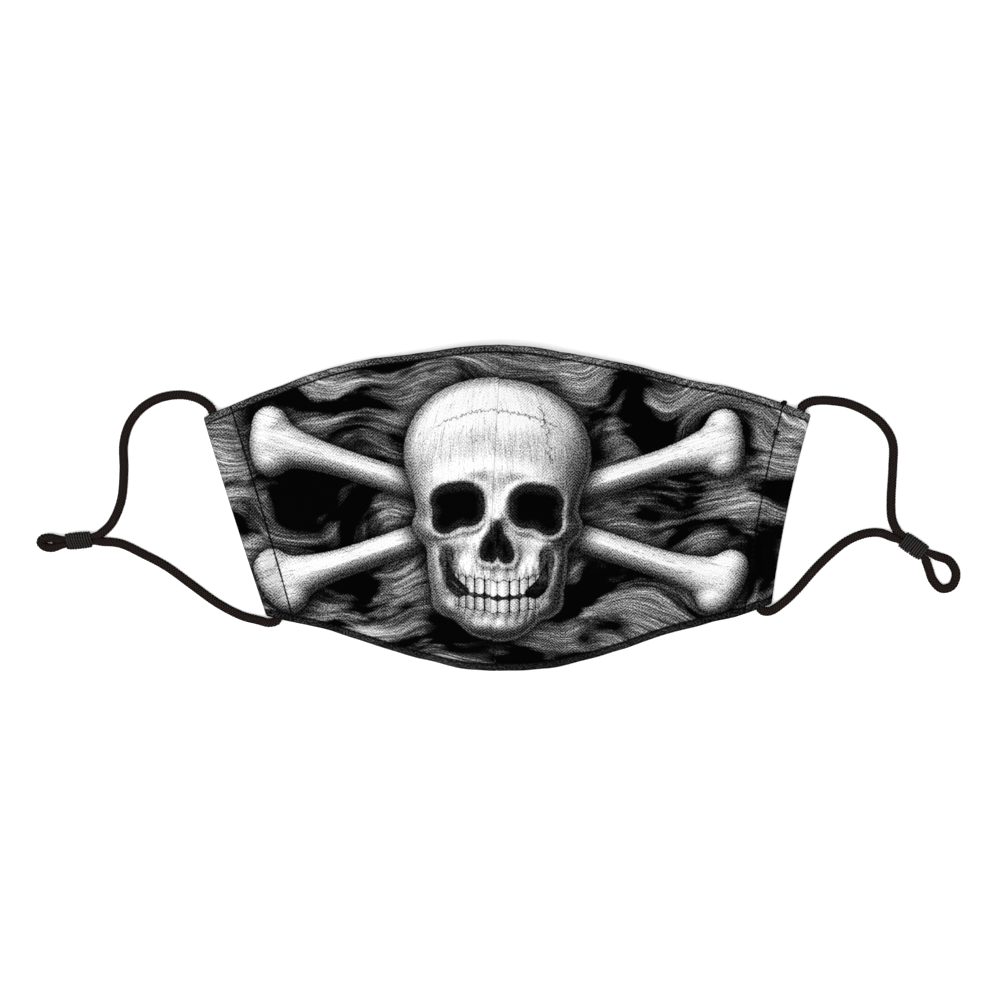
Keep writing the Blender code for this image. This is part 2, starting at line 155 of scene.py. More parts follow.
# The cords' own routes on the surface, measured from the middle of the mask's side edge.
# lift is how far the cord is held above the surface.
RoutePoint = namedtuple("RoutePoint", "x y lift", defaults=(0.0,))
LEFT_UPPER_LEG = (
    RoutePoint(-0.0105, 0.0426, 0.0010),
    RoutePoint(-0.0151, 0.0452, 0.0002),
    RoutePoint(-0.0214, 0.0462),
    RoutePoint(-0.0289, 0.0449),
    RoutePoint(-0.0354, 0.0411),
    RoutePoint(-0.0401, 0.0351),
    RoutePoint(-0.0423, 0.0273),
    RoutePoint(-0.0422, 0.0174),
    RoutePoint(-0.0431, 0.0067),
    RoutePoint(-0.0464, -0.0018),
    RoutePoint(-0.0508, -0.0064, 0.0010),
)
LEFT_END_LOOP = (
    RoutePoint(-0.0671, -0.0086, 0.0024),
    RoutePoint(-0.0697, -0.0080, 0.0032),
    RoutePoint(-0.0724, -0.0084, 0.0032),
    RoutePoint(-0.0735, -0.0099, 0.0014),
    RoutePoint(-0.0720, -0.0114, 0.0001),
    RoutePoint(-0.0694, -0.0118),
    RoutePoint(-0.0669, -0.0110, 0.0002),
)
LEFT_LOWER_LEG = (
    RoutePoint(-0.0505, -0.0095),
    RoutePoint(-0.0432, -0.0103),
    RoutePoint(-0.0350, -0.0141),
    RoutePoint(-0.0260, -0.0189),
    RoutePoint(-0.0166, -0.0257),
    RoutePoint(-0.0072, -0.0325),
    RoutePoint(0.0018, -0.0373),
    RoutePoint(0.0086, -0.0392, 0.0005),
    RoutePoint(0.0135, -0.0402, 0.0014),
)
RIGHT_UPPER_LEG = (
    RoutePoint(0.0050, 0.0396, 0.0010),
    RoutePoint(0.0090, 0.0411, 0.0002),
    RoutePoint(0.0149, 0.0412),
    RoutePoint(0.0220, 0.0400),
    RoutePoint(0.0290, 0.0368),
    RoutePoint(0.0350, 0.0319),
    RoutePoint(0.0386, 0.0250),
    RoutePoint(0.0386, 0.0155),
    RoutePoint(0.0380, 0.0050),
    RoutePoint(0.0382, -0.0030),
    RoutePoint(0.0401, -0.0078, 0.0003),
)
RIGHT_END_LOOP = (
    RoutePoint(0.0552, -0.0177),
    RoutePoint(0.0600, -0.0196),
    RoutePoint(0.0626, -0.0242),
    RoutePoint(0.0612, -0.0289),
    RoutePoint(0.0572, -0.0301),
    RoutePoint(0.0539, -0.0270),
    RoutePoint(0.0524, -0.0230),
    RoutePoint(0.0512, -0.0196),
)
RIGHT_LOWER_LEG = (
    RoutePoint(0.0381, -0.0105),
    RoutePoint(0.0334, -0.0089),
    RoutePoint(0.0276, -0.0094),
    RoutePoint(0.0210, -0.0122),
    RoutePoint(0.0145, -0.0174),
    RoutePoint(0.0086, -0.0232),
    RoutePoint(0.0027, -0.0300),
    RoutePoint(-0.0027, -0.0352, 0.0002),
    RoutePoint(-0.0084, -0.0387, 0.0013),
)

# How far down the tunnel the returning cord's points lie: at the chin mouth, and further in.
CHIN_MOUTH_DOWN = 0.99
TUNNEL_STOPS = (0.86, 0.60)

# Each adjuster lies between two points of the surface, measured as the routes are. roll
# turns the cord's two strands about the adjuster's own line, in degrees.
Adjuster = namedtuple("Adjuster", "mask_end loop_end roll")
LEFT_ADJUSTER = Adjuster((-0.0540, -0.0085), (-0.0643, -0.0096), 35.0)
RIGHT_ADJUSTER = Adjuster((0.0420, -0.0110), (0.0507, -0.0170), 0.0)

# The two halves. print_shift is how far off its place the print lies on a half, as cutting
# and sewing leave it.
Half = namedtuple(
    "Half",
    "name side nose_width chin_width nose_drop chin_rise side_hollow edge dents "
    "upper_leg end_loop lower_leg adjuster print_shift",
)
LEFT = Half(
    name="left",
    side=-1,
    nose_width=LEFT_NOSE_WIDTH,
    chin_width=LEFT_CHIN_WIDTH,
    nose_drop=LEFT_NOSE_DROP,
    chin_rise=LEFT_CHIN_RISE,
    side_hollow=LEFT_SIDE_HOLLOW,
    edge=LEFT_EDGE,
    dents=LEFT_DENTS,
    upper_leg=LEFT_UPPER_LEG,
    end_loop=LEFT_END_LOOP,
    lower_leg=LEFT_LOWER_LEG,
    adjuster=LEFT_ADJUSTER,
    print_shift=(0.0, 0.0),
)
RIGHT = Half(
    name="right",
    side=1,
    nose_width=RIGHT_NOSE_WIDTH,
    chin_width=RIGHT_CHIN_WIDTH,
    nose_drop=RIGHT_NOSE_DROP,
    chin_rise=RIGHT_CHIN_RISE,
    side_hollow=RIGHT_SIDE_HOLLOW,
    edge=RIGHT_EDGE,
    dents=RIGHT_DENTS,
    upper_leg=RIGHT_UPPER_LEG,
    end_loop=RIGHT_END_LOOP,
    lower_leg=RIGHT_LOWER_LEG,
    adjuster=RIGHT_ADJUSTER,
    print_shift=(-0.0004, 0.0007),
)
HALVES = (LEFT, RIGHT)

# Heights and places that follow from the sizes above.
TUNNEL_CLEAR_HEIGHT = CORD_DIAMETER + 2 * TOUCHING_GAP
FLAP_LEVEL = CLOTH_THICKNESS / 2
STITCH_LEVEL = CLOTH_THICKNESS + TOUCHING_GAP + CLOTH_THICKNESS / 2
TUNNEL_TOP_LEVEL = CLOTH_THICKNESS + TUNNEL_CLEAR_HEIGHT + CLOTH_THICKNESS / 2
FOLD_RADIUS = (TUNNEL_TOP_LEVEL - FLAP_LEVEL) / 2
FOLD_CENTRE = FOLD_RADIUS + CLOTH_THICKNESS / 2
CORD_LEVEL_IN_TUNNEL = CLOTH_THICKNESS + TUNNEL_CLEAR_HEIGHT / 2
STRAND_SPACING = SQUEEZED_DIAMETER + STRAND_GAP
SEAM_NOSE_X = (LEFT_NOSE_WIDTH - RIGHT_NOSE_WIDTH) / 2

# How finely the cloth is drawn: columns of the dome, the tunnel, its fold and its flap, and rows.
DOME_COLUMNS = 122
TUNNEL_COLUMNS = 22
FOLD_COLUMNS = 14
FLAP_COLUMNS = 7
MIDDLE_ROWS = 166
HEM_STEPS = (0.0, 0.05, 0.12, 0.22, 0.36, 0.52, 0.68, 0.82, 0.92)
SEAM_STEPS = (0.0, 0.00015, 0.00035, 0.0006, 0.0010, 0.0015)

# The cloth's thickness by distance from an edge, a stitch line or the seam.
ThicknessRow = namedtuple("ThicknessRow", "distance thickness")
HEM_PROFILE = (
    ThicknessRow(0.0, 0.0009),
    ThicknessRow(0.0003, 0.00135),
    ThicknessRow(0.0009, HEM_THICKNESS),
    ThicknessRow(0.0017, 0.0016),
    ThicknessRow(HEM_WIDTH, GROOVE_THICKNESS),
    ThicknessRow(0.0036, CLOTH_THICKNESS),
)
SEAM_PROFILE = (
    ThicknessRow(0.0, 0.00045),
    ThicknessRow(0.0003, 0.0008),
    ThicknessRow(0.0007, 0.0011),
    ThicknessRow(0.0013, 0.00128),
    ThicknessRow(0.0030, CLOTH_THICKNESS),
)
STITCH_PROFILE = (
    ThicknessRow(0.0, GROOVE_THICKNESS),
    ThicknessRow(0.0008, CLOTH_THICKNESS),
)
MOUTH_PROFILE = (
    ThicknessRow(0.0, 0.0007),
    ThicknessRow(0.0006, CLOTH_THICKNESS),
)

# Puckers: small ripples that run away from a line of stitches. depth is their height,
# pitch their spacing along the line, and reach how far they run from it. They rise over the
# first share of their reach.
Pucker = namedtuple("Pucker", "depth pitch reach seed")
CASING_PUCKER = Pucker(0.00032, 0.0052, 0.0050, 3.1)
HEM_PUCKER = Pucker(0.00022, 0.0066, 0.0055, 7.7)
SEAM_PUCKER = Pucker(0.00030, 0.0080, 0.0070, 5.3)
PUCKER_RISE_SHARE = 0.25

# Soft waves in the cloth, which die out towards its stitches and less towards its edges.
UNDULATION_DEPTH = 0.0011
UNDULATION_SIZE = 0.026
UNDULATION_HELD = 0.02
UNDULATION_EDGE_REACH = 0.012
UNDULATION_EDGE_SHARE = 0.35

# Small waves of the nose and chin edges themselves, along the edge and inwards from it.
EDGE_WAVE_DEPTH = 0.00022
EDGE_WAVE_SIZE = 0.0075
EDGE_WAVE_INWARD_SIZE = 0.03
EDGE_WAVE_REACH = 0.006

# The printed design, a whole skull before two crossed bones and smoke. Its tables are in
# design units, of which the print settings give the length. Ellipses with x above 0 stand
# at both sides. tilt turns them, in degrees, and lift is a relief that only shades them.
Ellipse = namedtuple("Ellipse", "x y reach_x reach_y tilt lift", defaults=(0.0, 0.0))
SKULL_OUTLINE = (
    Ellipse(0, 20.5, 36, 30.5),
    Ellipse(0, 3, 31, 18),
    Ellipse(24.8, -7.0, 8.2, 6.2, 22),
    Ellipse(0, -15, 18.5, 17),
    Ellipse(22.8, -22, 3.8, 14, -5),
    Ellipse(19.0, -36, 6.4, 4.8, 38),
    Ellipse(0, -39.5, 16, 10.5),
    Ellipse(0, -45, 10, 5.5),
)
SKULL_BLEND = 3.6
SKULL_BODY = (Ellipse(0, 20.5, 36, 30.5), Ellipse(0, -14, 27, 36))
BODY_BLEND = 16.0
BODY_ROUNDING = 26.0
RIM_ROUNDING = 5.0
BODY_SHARE = 0.50
RIM_SHARE = 0.30
SKULL_RELIEF = (
    Ellipse(0, 30, 26, 18, 0, 2.6),
    Ellipse(14, 33, 10, 8, 0, 1.0),
    Ellipse(14.5, 12.2, 10.5, 3.2, -13, 2.4),
    Ellipse(0, 11.5, 4.4, 5.0, 0, 1.0),
    Ellipse(33, 9, 6, 13, 0, -3.8),
    Ellipse(27.6, 2, 2.8, 6, 0, 1.8),
    Ellipse(23.6, -9.4, 9.0, 3.4, 24, 3.8),
    Ellipse(0, -1.5, 3.0, 6.5, 0, 3.2),
    Ellipse(11.2, -16.5, 4.0, 4.5, 0, -1.5),
    Ellipse(11.6, -23, 2.4, 5, -6, 0.9),
    Ellipse(23, -24, 2.8, 9, -5, 1.5),
    Ellipse(18.5, -37, 5.5, 3.4, 34, 1.2),
    Ellipse(0, -45.2, 8.0, 3.6, 0, 1.3),
    Ellipse(0, -41.4, 10, 2.2, 0, -0.5),
    Ellipse(6.0, -46.0, 3.4, 2.6, 0, 0.35),
)
EYE_HOLLOW = (
    Ellipse(14.0, 1.4, 8.6, 7.2, -8),
    Ellipse(10.0, 4.2, 5.2, 4.2, 10),
    Ellipse(19.6, 3.2, 5.6, 4.6, -14),
    Ellipse(19.0, -3.8, 5.8, 5.0, -30),
    Ellipse(9.4, -1.4, 4.6, 4.8, 20),
)
EYE_BLEND = 3.0
NOSE_HOLLOW = (
    Ellipse(0, -9.6, 2.3, 5.6),
    Ellipse(2.5, -13.8, 2.9, 4.6, 14),
    Ellipse(3.3, -16.6, 2.7, 2.6, 0),
)
NOSE_BLEND = 2.0
CHEEK_HOLLOW = (Ellipse(18.4, -22.0, 1.9, 7.2, -4), Ellipse(18.9, -18.0, 2.4, 3.4, 20))
CHEEK_BLEND = 1.5
RIM_DISTANCE = 1.1
RIM_WIDTH = 1.5
RIM_LIFT = 1.25
TOOTH_EDGES = (0.0, 4.4, 8.1, 11.5, 14.3, 16.4)

# Both rows of teeth, from gum to bite. root is where the roots' relief lies, as a share of
# that way and so below 0, and root_reach how far it runs.
ToothRow = namedtuple("ToothRow", "gum bite root root_reach")
UPPER_TEETH = ToothRow(-25.4, -32.2, -0.35, 0.45)
LOWER_TEETH = ToothRow(-39.2, -33.0, -0.30, 0.35)
TOOTH_CURVE = 0.010
ROOT_RELIEF = 0.34

# The two bones, each from one end to the other, and their sizes in design units.
Bone = namedtuple("Bone", "start_x start_y end_x end_y")
BONES = (Bone(-90, 25.5, 90, -27), Bone(-88, -27.5, 90, 25))
SHAFT_HALF_WIDTH = 5.2
FLARE = 3.4
FLARE_REACH = 15.0
KNOB_RADIUS = 6.8
KNOB_SPREAD = 6.3
KNOB_STAGGER = 1.6
KNOB_BLEND = 3.4
BONE_ROUNDING = 7.5
DESIGN_LIGHT = Vector((-0.30, 0.52, 0.80)).normalized()
LIGHT_STEP = 0.25
STEEPEST = 0.965
SECOND_BONE_ALONG = 300

# The skull's strokes follow meridians that draw together above and below this height.
MERIDIAN_MIDDLE = 12
MERIDIAN_REACH = 46
MERIDIAN_LEAST = 0.16

# The outer face beyond the reach of the tunnel's stitches, as the print's material reads it.
FAR_FROM_CASING = 9.0

# Each row of stitches starts and ends inside the cloth's own edges, as shares of its length.
CASING_LINE_START = 0.004
CASING_LINE_SHARE = 0.992
HEM_LINE_START = 0.008
HEM_LINE_SHARE = 0.982

# The knot lies on the right half's tunnel stitching, a share of the way from nose to chin. It
# winds about itself unevenly, a little shorter than wide, and rises and falls as it does so.
# Its reach, its lift and the steps of its tail are in radii of the thread.
KNOT_DOWN = 0.14
KNOT_TURNS = 3
KNOT_POINTS = 64
KNOT_REACH = 2.6
KNOT_UNEVENNESS = 0.35
KNOT_SHORTNESS = 0.8
KNOT_LIFT = 1.4
KNOT_RISE = 1.1
KNOT_TAIL = (1, 2.2, 3.4, 4.6)
KNOT_TAIL_SLANT = 0.8

# The thread end curls out of the nose edge. Its curl's reach and its thickness are shares of
# the sewing thread's radius.
THREAD_END_LENGTH = 0.0012
THREAD_END_TURNS = 2.4
THREAD_END_CURL = 2.6
THREAD_END_SWELL = 1.9
THREAD_END_POINTS = 40
THREAD_END_DIRECTION = Vector((0.25, 1, 0)).normalized()

# How rough every noise in the materials is.
NOISE_ROUGHNESS = 0.55

# The sewing thread's plies and the painted shade between them, and the tooth of the floor's paper.
STITCH_PLIES_PER_METRE = 1600
STITCH_GAP_SHADE_COLOUR = (0.0005, 0.0005, 0.0005)
PAPER_TOOTH = 900
PAPER_SHADE = 0.985

# The soft lamp hangs over the mask's lower left.
LAMP_SIZE = 1.2
LAMP_PLACE = Vector((-0.16, -0.22, 1.75))


def cloth_settings():
    return bpy.context.scene.skull_mask_cloth


def print_settings():
    return bpy.context.scene.skull_mask_print


def cord_settings():
    return bpy.context.scene.skull_mask_cord


def winding_settings():
    return bpy.context.scene.skull_mask_winding


def stitch_settings():
    return bpy.context.scene.skull_mask_stitch


def stage_settings():
    return bpy.context.scene.skull_mask_stage


# Shape of the cloth. These functions take numbers or arrays of them.


def smooth_value(rows, key, column, at):
    """The named column at places between the rows, on a smooth curve through them."""
    places = np.array([getattr(row, key) for row in rows], float)
    values = np.array([getattr(row, column) for row in rows], float)
    before = np.maximum(np.arange(len(rows)) - 1, 0)
    after = np.minimum(np.arange(len(rows)) + 1, len(rows) - 1)
    slopes = (values[after] - values[before]) / (places[after] - places[before])
    at = np.clip(at, places[0], places[-1])
    i = np.searchsorted(places[1:-1], at, side="left")
    span = places[i + 1] - places[i]
    t = (at - places[i]) / span
    return (
        (2 * t**3 - 3 * t**2 + 1) * values[i]
        + (t**3 - 2 * t**2 + t) * span * slopes[i]
        + (3 * t**2 - 2 * t**3) * values[i + 1]
        + (t**3 - t**2) * span * slopes[i + 1]
    )


def plan_point(half, across, down):
    """Where a point of the half lies, seen from above, as x and y."""
    nose_x = SEAM_NOSE_X + half.side * half.nose_width * across
    nose_drop = smooth_value(half.edge, "across", "nose_drop", across)
    nose_y = MASK_HEIGHT / 2 - half.nose_drop * nose_drop
    chin_x = SEAM_NOSE_X - CHIN_OFFSET + half.side * half.chin_width * across
    chin_rise = smooth_value(half.edge, "across", "chin_rise", across)
    chin_y = half.chin_rise * chin_rise - MASK_HEIGHT / 2
    lean = SEAM_LEAN * smooth_value(SEAM, "down", "lean", down) * (1 - across) ** 2
    hollow = half.side * half.side_hollow * across**2 * 4 * down * (1 - down)
    x = nose_x + (chin_x - nose_x) * down - lean - hollow
    return x, nose_y + (chin_y - nose_y) * down


def row_width(half, down):
    """The plan distance from the seam to the side edge."""
    (x1, y1), (x0, y0) = plan_point(half, 1, down), plan_point(half, 0, down)
    return np.hypot(x1 - x0, y1 - y0)


def column_height(half, across):
    """The plan distance from the nose edge to the chin edge."""
    (x1, y1), (x0, y0) = plan_point(half, across, 1), plan_point(half, across, 0)
    return np.hypot(x1 - x0, y1 - y0)


def dome_level(half, share, across, down):
    """Height of the cloth's middle, at a share of the way from the seam to the stitching."""
    crest = smooth_value(SEAM, "down", "crest", down)
    ridge = RIDGE_HEIGHT * smooth_value(SEAM, "down", "height", down)
    share = np.clip(share, 0, 1)
    bell = (1 - crest) * (1 + np.cos(np.pi * share)) / 2 + crest * (1 - share) ** RIDGE_POWER
    held = (1 - share) * share * 4
    dents = sum(
        row.lift
        * np.exp(-(((across - row.across) / row.reach_across) ** 2))
        * np.exp(-(((down - row.down) / row.reach_down) ** 2))
        for row in half.dents
    )
    return STITCH_LEVEL + (ridge - STITCH_LEVEL) * bell + RIDGE_HEIGHT * dents * held


def tunnel_level(inset):
    """Height of the cloth's middle over the cord, at a distance in from the side edge."""
    plateau = FOLD_CENTRE + CORD_PLAY
    t = np.clip((inset - plateau) / (TUNNEL_WIDTH - plateau), 0, 1)
    return TUNNEL_TOP_LEVEL + (STITCH_LEVEL - TUNNEL_TOP_LEVEL) * (3 * t**2 - 2 * t**3)


def dome_shares(half):
    """The dome's columns, closer together beside the seam and beside the stitching."""
    width = float(row_width(half, 0.5)) - TUNNEL_WIDTH
    near = [step / width for step in SEAM_STEPS]
    first, last = near[-1], 1 - near[3]
    middle = [first + (last - first) * i / (DOME_COLUMNS - 1) for i in range(1, DOME_COLUMNS)]
    return near + middle + [1 - near[1], 1.0]


def cloth_columns(half):
    """Each column of the cloth as its share of the dome, or its inset from the side and its height.

    Beside the dome the columns run over the tunnel, round the fold and back under it."""
    dome = dome_shares(half)
    over = np.arange(1, TUNNEL_COLUMNS + 1) / TUNNEL_COLUMNS
    over_inset = TUNNEL_WIDTH + (FOLD_CENTRE - TUNNEL_WIDTH) * over
    turn = np.pi * np.arange(1, FOLD_COLUMNS + 1) / FOLD_COLUMNS
    back = np.arange(1, FLAP_COLUMNS + 1) / FLAP_COLUMNS
    flap_inset = FOLD_CENTRE + (TUNNEL_WIDTH + TUNNEL_ALLOWANCE - FOLD_CENTRE) * back
    side = [over_inset, FOLD_CENTRE - FOLD_RADIUS * np.sin(turn), flap_inset]
    level = [
        tunnel_level(over_inset),
        FLAP_LEVEL + FOLD_RADIUS * (1 + np.cos(turn)),
        np.full(FLAP_COLUMNS, FLAP_LEVEL),
    ]
    share = np.concatenate([dome, np.ones(sum(map(len, side)))])
    inset = np.concatenate([np.zeros(len(dome)), *side])
    return share, inset, np.concatenate([np.zeros(len(dome)), *level])


def section(half, down):
    """The cloth's middle line from the seam, over the tunnel, round the fold and back under it.

    It returns across and level, with a row for each value of down and the grid's columns."""
    share, inset, side_level = cloth_columns(half)
    width = row_width(half, down)
    stitch = 1 - TUNNEL_WIDTH / width
    seam = SEAM_GAP / 2 / width
    across = np.where(inset > 0, 1 - inset / width, seam + (stitch - seam) * share)
    return across, np.where(inset > 0, side_level, dome_level(half, share, across, down))


def cloth_grid(half):
    """The cloth's middle surface: x, y, level, across and down of each point of the grid."""
    rows = [(0.0, step) for step in HEM_STEPS]
    rows += [(i / MIDDLE_ROWS, 1.0) for i in range(MIDDLE_ROWS + 1)]
    rows += [(1.0, step) for step in reversed(HEM_STEPS)]
    share, inside = (np.array(column)[:, None] for column in zip(*rows))
    flat_across, _ = section(half, share)
    hem = HEM_WIDTH / column_height(half, flat_across)
    in_hem = np.where(share < 0.5, hem * inside, 1 - hem * inside)
    down = np.where(inside < 1, in_hem, hem + (1 - 2 * hem) * share)
    across, level = section(half, down)
    x, y = plan_point(half, across, down)
    return x, y, level, across, down


def ripple(distance_along, distance_from, pucker):
    """How far a pucker lifts the cloth, at a distance along its stitches and away from them."""
    place = Vector((distance_along / pucker.pitch, distance_from / pucker.reach, pucker.seed))
    fade = math.exp(-((distance_from / pucker.reach) ** 2))
    rise = min(distance_from / (pucker.reach * PUCKER_RISE_SHARE), 1)
    return pucker.depth * noise.noise(place) * 2 * fade * rise


def smooth_route(route, spacing):
    """Evenly spaced (point, thickness share) pairs on a smooth curve through the route's points."""
    ends = [route[0]] + route + [route[-1]]
    line = []
    for (a, _), (b, thick_b), (c, thick_c), (d, _) in zip(ends, ends[1:], ends[2:], ends[3:]):
        steps = max(2, round((c - b).length / spacing * 2))
        for i in range(steps):
            t = i / steps
            point = (
                (2 * b)
                + (c - a) * t
                + (2 * a - 5 * b + 4 * c - d) * t**2
                + (3 * b - a - 3 * c + d) * t**3
            ) / 2
            line.append((point, thick_b + (thick_c - thick_b) * t))
    line.append(route[-1])
    return even_line(line, spacing)


def even_line(line, spacing):
    """The same line with its points a like distance apart."""
    steps = [(b[0] - a[0]).length for a, b in zip(line, line[1:])]
    places = np.concatenate([[0], np.cumsum(steps)])
    count = max(2, round(places[-1] / spacing))
    wanted = np.linspace(0, places[-1], count + 1)
    columns = [np.interp(wanted, places, [p[0][k] for p in line]) for k in range(3)]
    thick = np.interp(wanted, places, [p[1] for p in line])
    return [(Vector(xyz), share) for xyz, share in zip(zip(*columns), thick)]


def to_vector(plan, level):
    return Vector((float(plan[0]), float(plan[1]), float(level)))


def side_middle(half):
    """The middle of the half's side edge, from which the routes are measured."""
    (x0, y0), (x1, y1) = plan_point(half, 1, 0), plan_point(half, 1, 1)
    return Vector((float(x0 + x1) / 2, float(y0 + y1) / 2, 0))


def tunnel_point(half, down, inset):
    """The cord's middle in the tunnel, at a distance in from the side edge."""
    across = 1 - inset / row_width(half, down)
    return to_vector(plan_point(half, across, down), CORD_LEVEL_IN_TUNNEL)


def tunnel_route(half):
    """The cord's two stretches in the tunnel: to the nose mouth, and back from the chin mouth."""
    rest = FOLD_CENTRE + CORD_PLAY / 2
    inner = rest + CORD_PLAY / 2
    length = float(column_height(half, 1))
    end = CORD_END_DEPTH / length
    start = [tunnel_point(half, end * share, rest) for share in (1.0, 0.5, 0.0)]
    second_end = end + CORD_END_GAP / length
    back = [tunnel_point(half, CHIN_MOUTH_DOWN, inner)]
    back += [tunnel_point(half, down, rest) for down in (*TUNNEL_STOPS, second_end)]
    return start, back


def adjuster_frame(half):
    """The adjuster's middle, its way from the mask, its strands' way apart, and its length."""
    origin = side_middle(half)
    mask_end = origin + Vector(half.adjuster.mask_end).to_3d()
    loop_end = origin + Vector(half.adjuster.loop_end).to_3d()
    along = (loop_end - mask_end).normalized()
    level = Vector((along.y, -along.x, 0)) * half.side * -1
    roll = math.radians(half.adjuster.roll)
    apart = level * math.cos(roll) + Vector((0, 0, math.sin(roll)))
    shell = ADJUSTER_CLEARANCE + WINDING_DIAMETER
    height = SQUEEZED_DIAMETER / 2 + shell + STRAND_SPACING / 2 * abs(math.sin(roll))
    middle = (mask_end + loop_end) / 2 + Vector((0, 0, height))
    return middle, along, apart, (loop_end - mask_end).length


def strand(half, which):
    """The cord inside the adjuster: which is 1 for the upper leg's strand, -1 for the lower's."""
    middle, along, apart, length = adjuster_frame(half)
    last = STRAND_POINTS - 1
    line = [middle + along * length * (i / last - 0.5) for i in range(STRAND_POINTS)]
    points = [place + apart * STRAND_SPACING / 2 * which for place in line]
    return points if which > 0 else points[::-1]


def leg(half, rows):
    """A stretch of the cord that lies on the surface."""
    origin = side_middle(half)
    level = CORD_DIAMETER / 2 + SURFACE_GAP
    return [origin + Vector((row.x, row.y, level + row.lift)) for row in rows]


def cord_route(half):
    """The whole cord as (point, thickness share) pairs, from one end in the tunnel to the other."""
    start, back = tunnel_route(half)
    squeezed = SQUEEZED_DIAMETER / CORD_DIAMETER
    stretches = (
        (start, 1.0),
        (leg(half, half.upper_leg), 1.0),
        (strand(half, 1), squeezed),
        (leg(half, half.end_loop), 1.0),
        (strand(half, -1), squeezed),
        (leg(half, half.lower_leg), 1.0),
        (back, 1.0),
    )
    return [(point, share) for points, share in stretches for point in points]


# The design's own shapes, in design units. x and y are arrays.


def fade(low, high, value):
    """0 at low and 1 at high, and smooth between them."""
    t = np.clip((value - low) / (high - low), 0, 1)
    return t * t * (3 - 2 * t)


def joined(a, b, blend):
    """The distance to two shapes that run smoothly into each other."""
    share = np.clip(0.5 + 0.5 * (b - a) / blend, 0, 1)
    return b + (a - b) * share - blend * share * (1 - share)


def ellipse_place(x, y, row):
    """The places along the ellipse's own two axes."""
    turn = math.radians(row.tilt)
    dx, dy = x - row.x, y - row.y
    return dx * math.cos(turn) + dy * math.sin(turn), dy * math.cos(turn) - dx * math.sin(turn)


def ellipse_edge(x, y, row):
    """The distance from the ellipse's edge, below 0 inside it."""
    px, py = ellipse_place(x, y, row)
    share = np.hypot(px / row.reach_x, py / row.reach_y)
    steep = np.hypot(px / row.reach_x**2, py / row.reach_y**2)
    return share * (share - 1) / np.maximum(steep, 1e-6)


def joined_edge(x, y, rows, blend):
    """The distance from the edge of the ellipses, joined one after another."""
    edge = ellipse_edge(x, y, rows[0])
    for row in rows[1:]:
        edge = joined(edge, ellipse_edge(x, y, row), blend)
    return edge


def swell(x, y, row):
    """The height of a soft swell, or of a hollow where its lift is below 0."""
    px, py = ellipse_place(x, y, row)
    return row.lift * np.exp(-((px / row.reach_x) ** 2) - (py / row.reach_y) ** 2)


def slopes(value, x, y):
    """How steeply a value rises along x and along y."""
    d = LIGHT_STEP
    slope_x = (value(x + d, y) - value(x - d, y)) / (2 * d)
    slope_y = (value(x, y + d) - value(x, y - d)) / (2 * d)
    return slope_x, slope_y


def rounding(edge_at, radius, x, y):
    """The slopes of a form whose edge is rounded to a radius. They stay steep beyond the edge."""
    share = np.clip(1 + edge_at(x, y) / radius, 0, STEEPEST)
    steep = -share / np.sqrt(1 - share * share)
    slope_x, slope_y = slopes(edge_at, x, y)
    return steep * slope_x, steep * slope_y


def shaded(slope_x, slope_y):
    """How bright the design's light leaves a slope, and how squarely it faces the viewer."""
    facing = 1 / np.sqrt(slope_x**2 + slope_y**2 + 1)
    light = (DESIGN_LIGHT.z - slope_x * DESIGN_LIGHT.x - slope_y * DESIGN_LIGHT.y) * facing
    return np.clip(light, 0, 1), facing


def skull_edge(x, y):
    return joined_edge(np.abs(x), y, SKULL_OUTLINE, SKULL_BLEND)


def body_edge(x, y):
    return joined_edge(x, y, SKULL_BODY, BODY_BLEND)


def hollow_edge(x, y):
    """The distance from the nearest hollow: an eye, the nose or the gap beside the teeth."""
    side = np.abs(x)
    eyes = joined_edge(side, y, EYE_HOLLOW, EYE_BLEND)
    nose = joined_edge(side, y, NOSE_HOLLOW, NOSE_BLEND)
    return np.minimum(np.minimum(eyes, nose), joined_edge(side, y, CHEEK_HOLLOW, CHEEK_BLEND))


def tooth_places(x, y):
    """Each point's tooth number across, and its share of the way from gum to bite in both rows."""
    across = np.interp(np.abs(x), TOOTH_EDGES, np.arange(len(TOOTH_EDGES)))
    curved = y - TOOTH_CURVE * x**2
    upper = (curved - UPPER_TEETH.gum) / (UPPER_TEETH.bite - UPPER_TEETH.gum)
    lower = (curved - LOWER_TEETH.gum) / (LOWER_TEETH.bite - LOWER_TEETH.gum)
    return across, upper, lower


def skull_relief(x, y):
    """The skull's swells, hollows and tooth roots, which only its shading shows."""
    height = RIM_LIFT * np.exp(-(((hollow_edge(x, y) - RIM_DISTANCE) / RIM_WIDTH) ** 2))
    for row in SKULL_RELIEF:
        height = height + swell(x, y, row)
        if row.x > 0:
            height = height + swell(x, y, row._replace(x=-row.x, tilt=-row.tilt))
    tooth, upper, lower = tooth_places(x, y)
    roots = -np.cos(2 * np.pi * tooth) * fade(TOOTH_EDGES[5], TOOTH_EDGES[4], np.abs(x))
    beside = sum(
        np.exp(-(((place - row.root) / row.root_reach) ** 2))
        for row, place in ((UPPER_TEETH, upper), (LOWER_TEETH, lower))
    )
    return height + ROOT_RELIEF * roots * beside


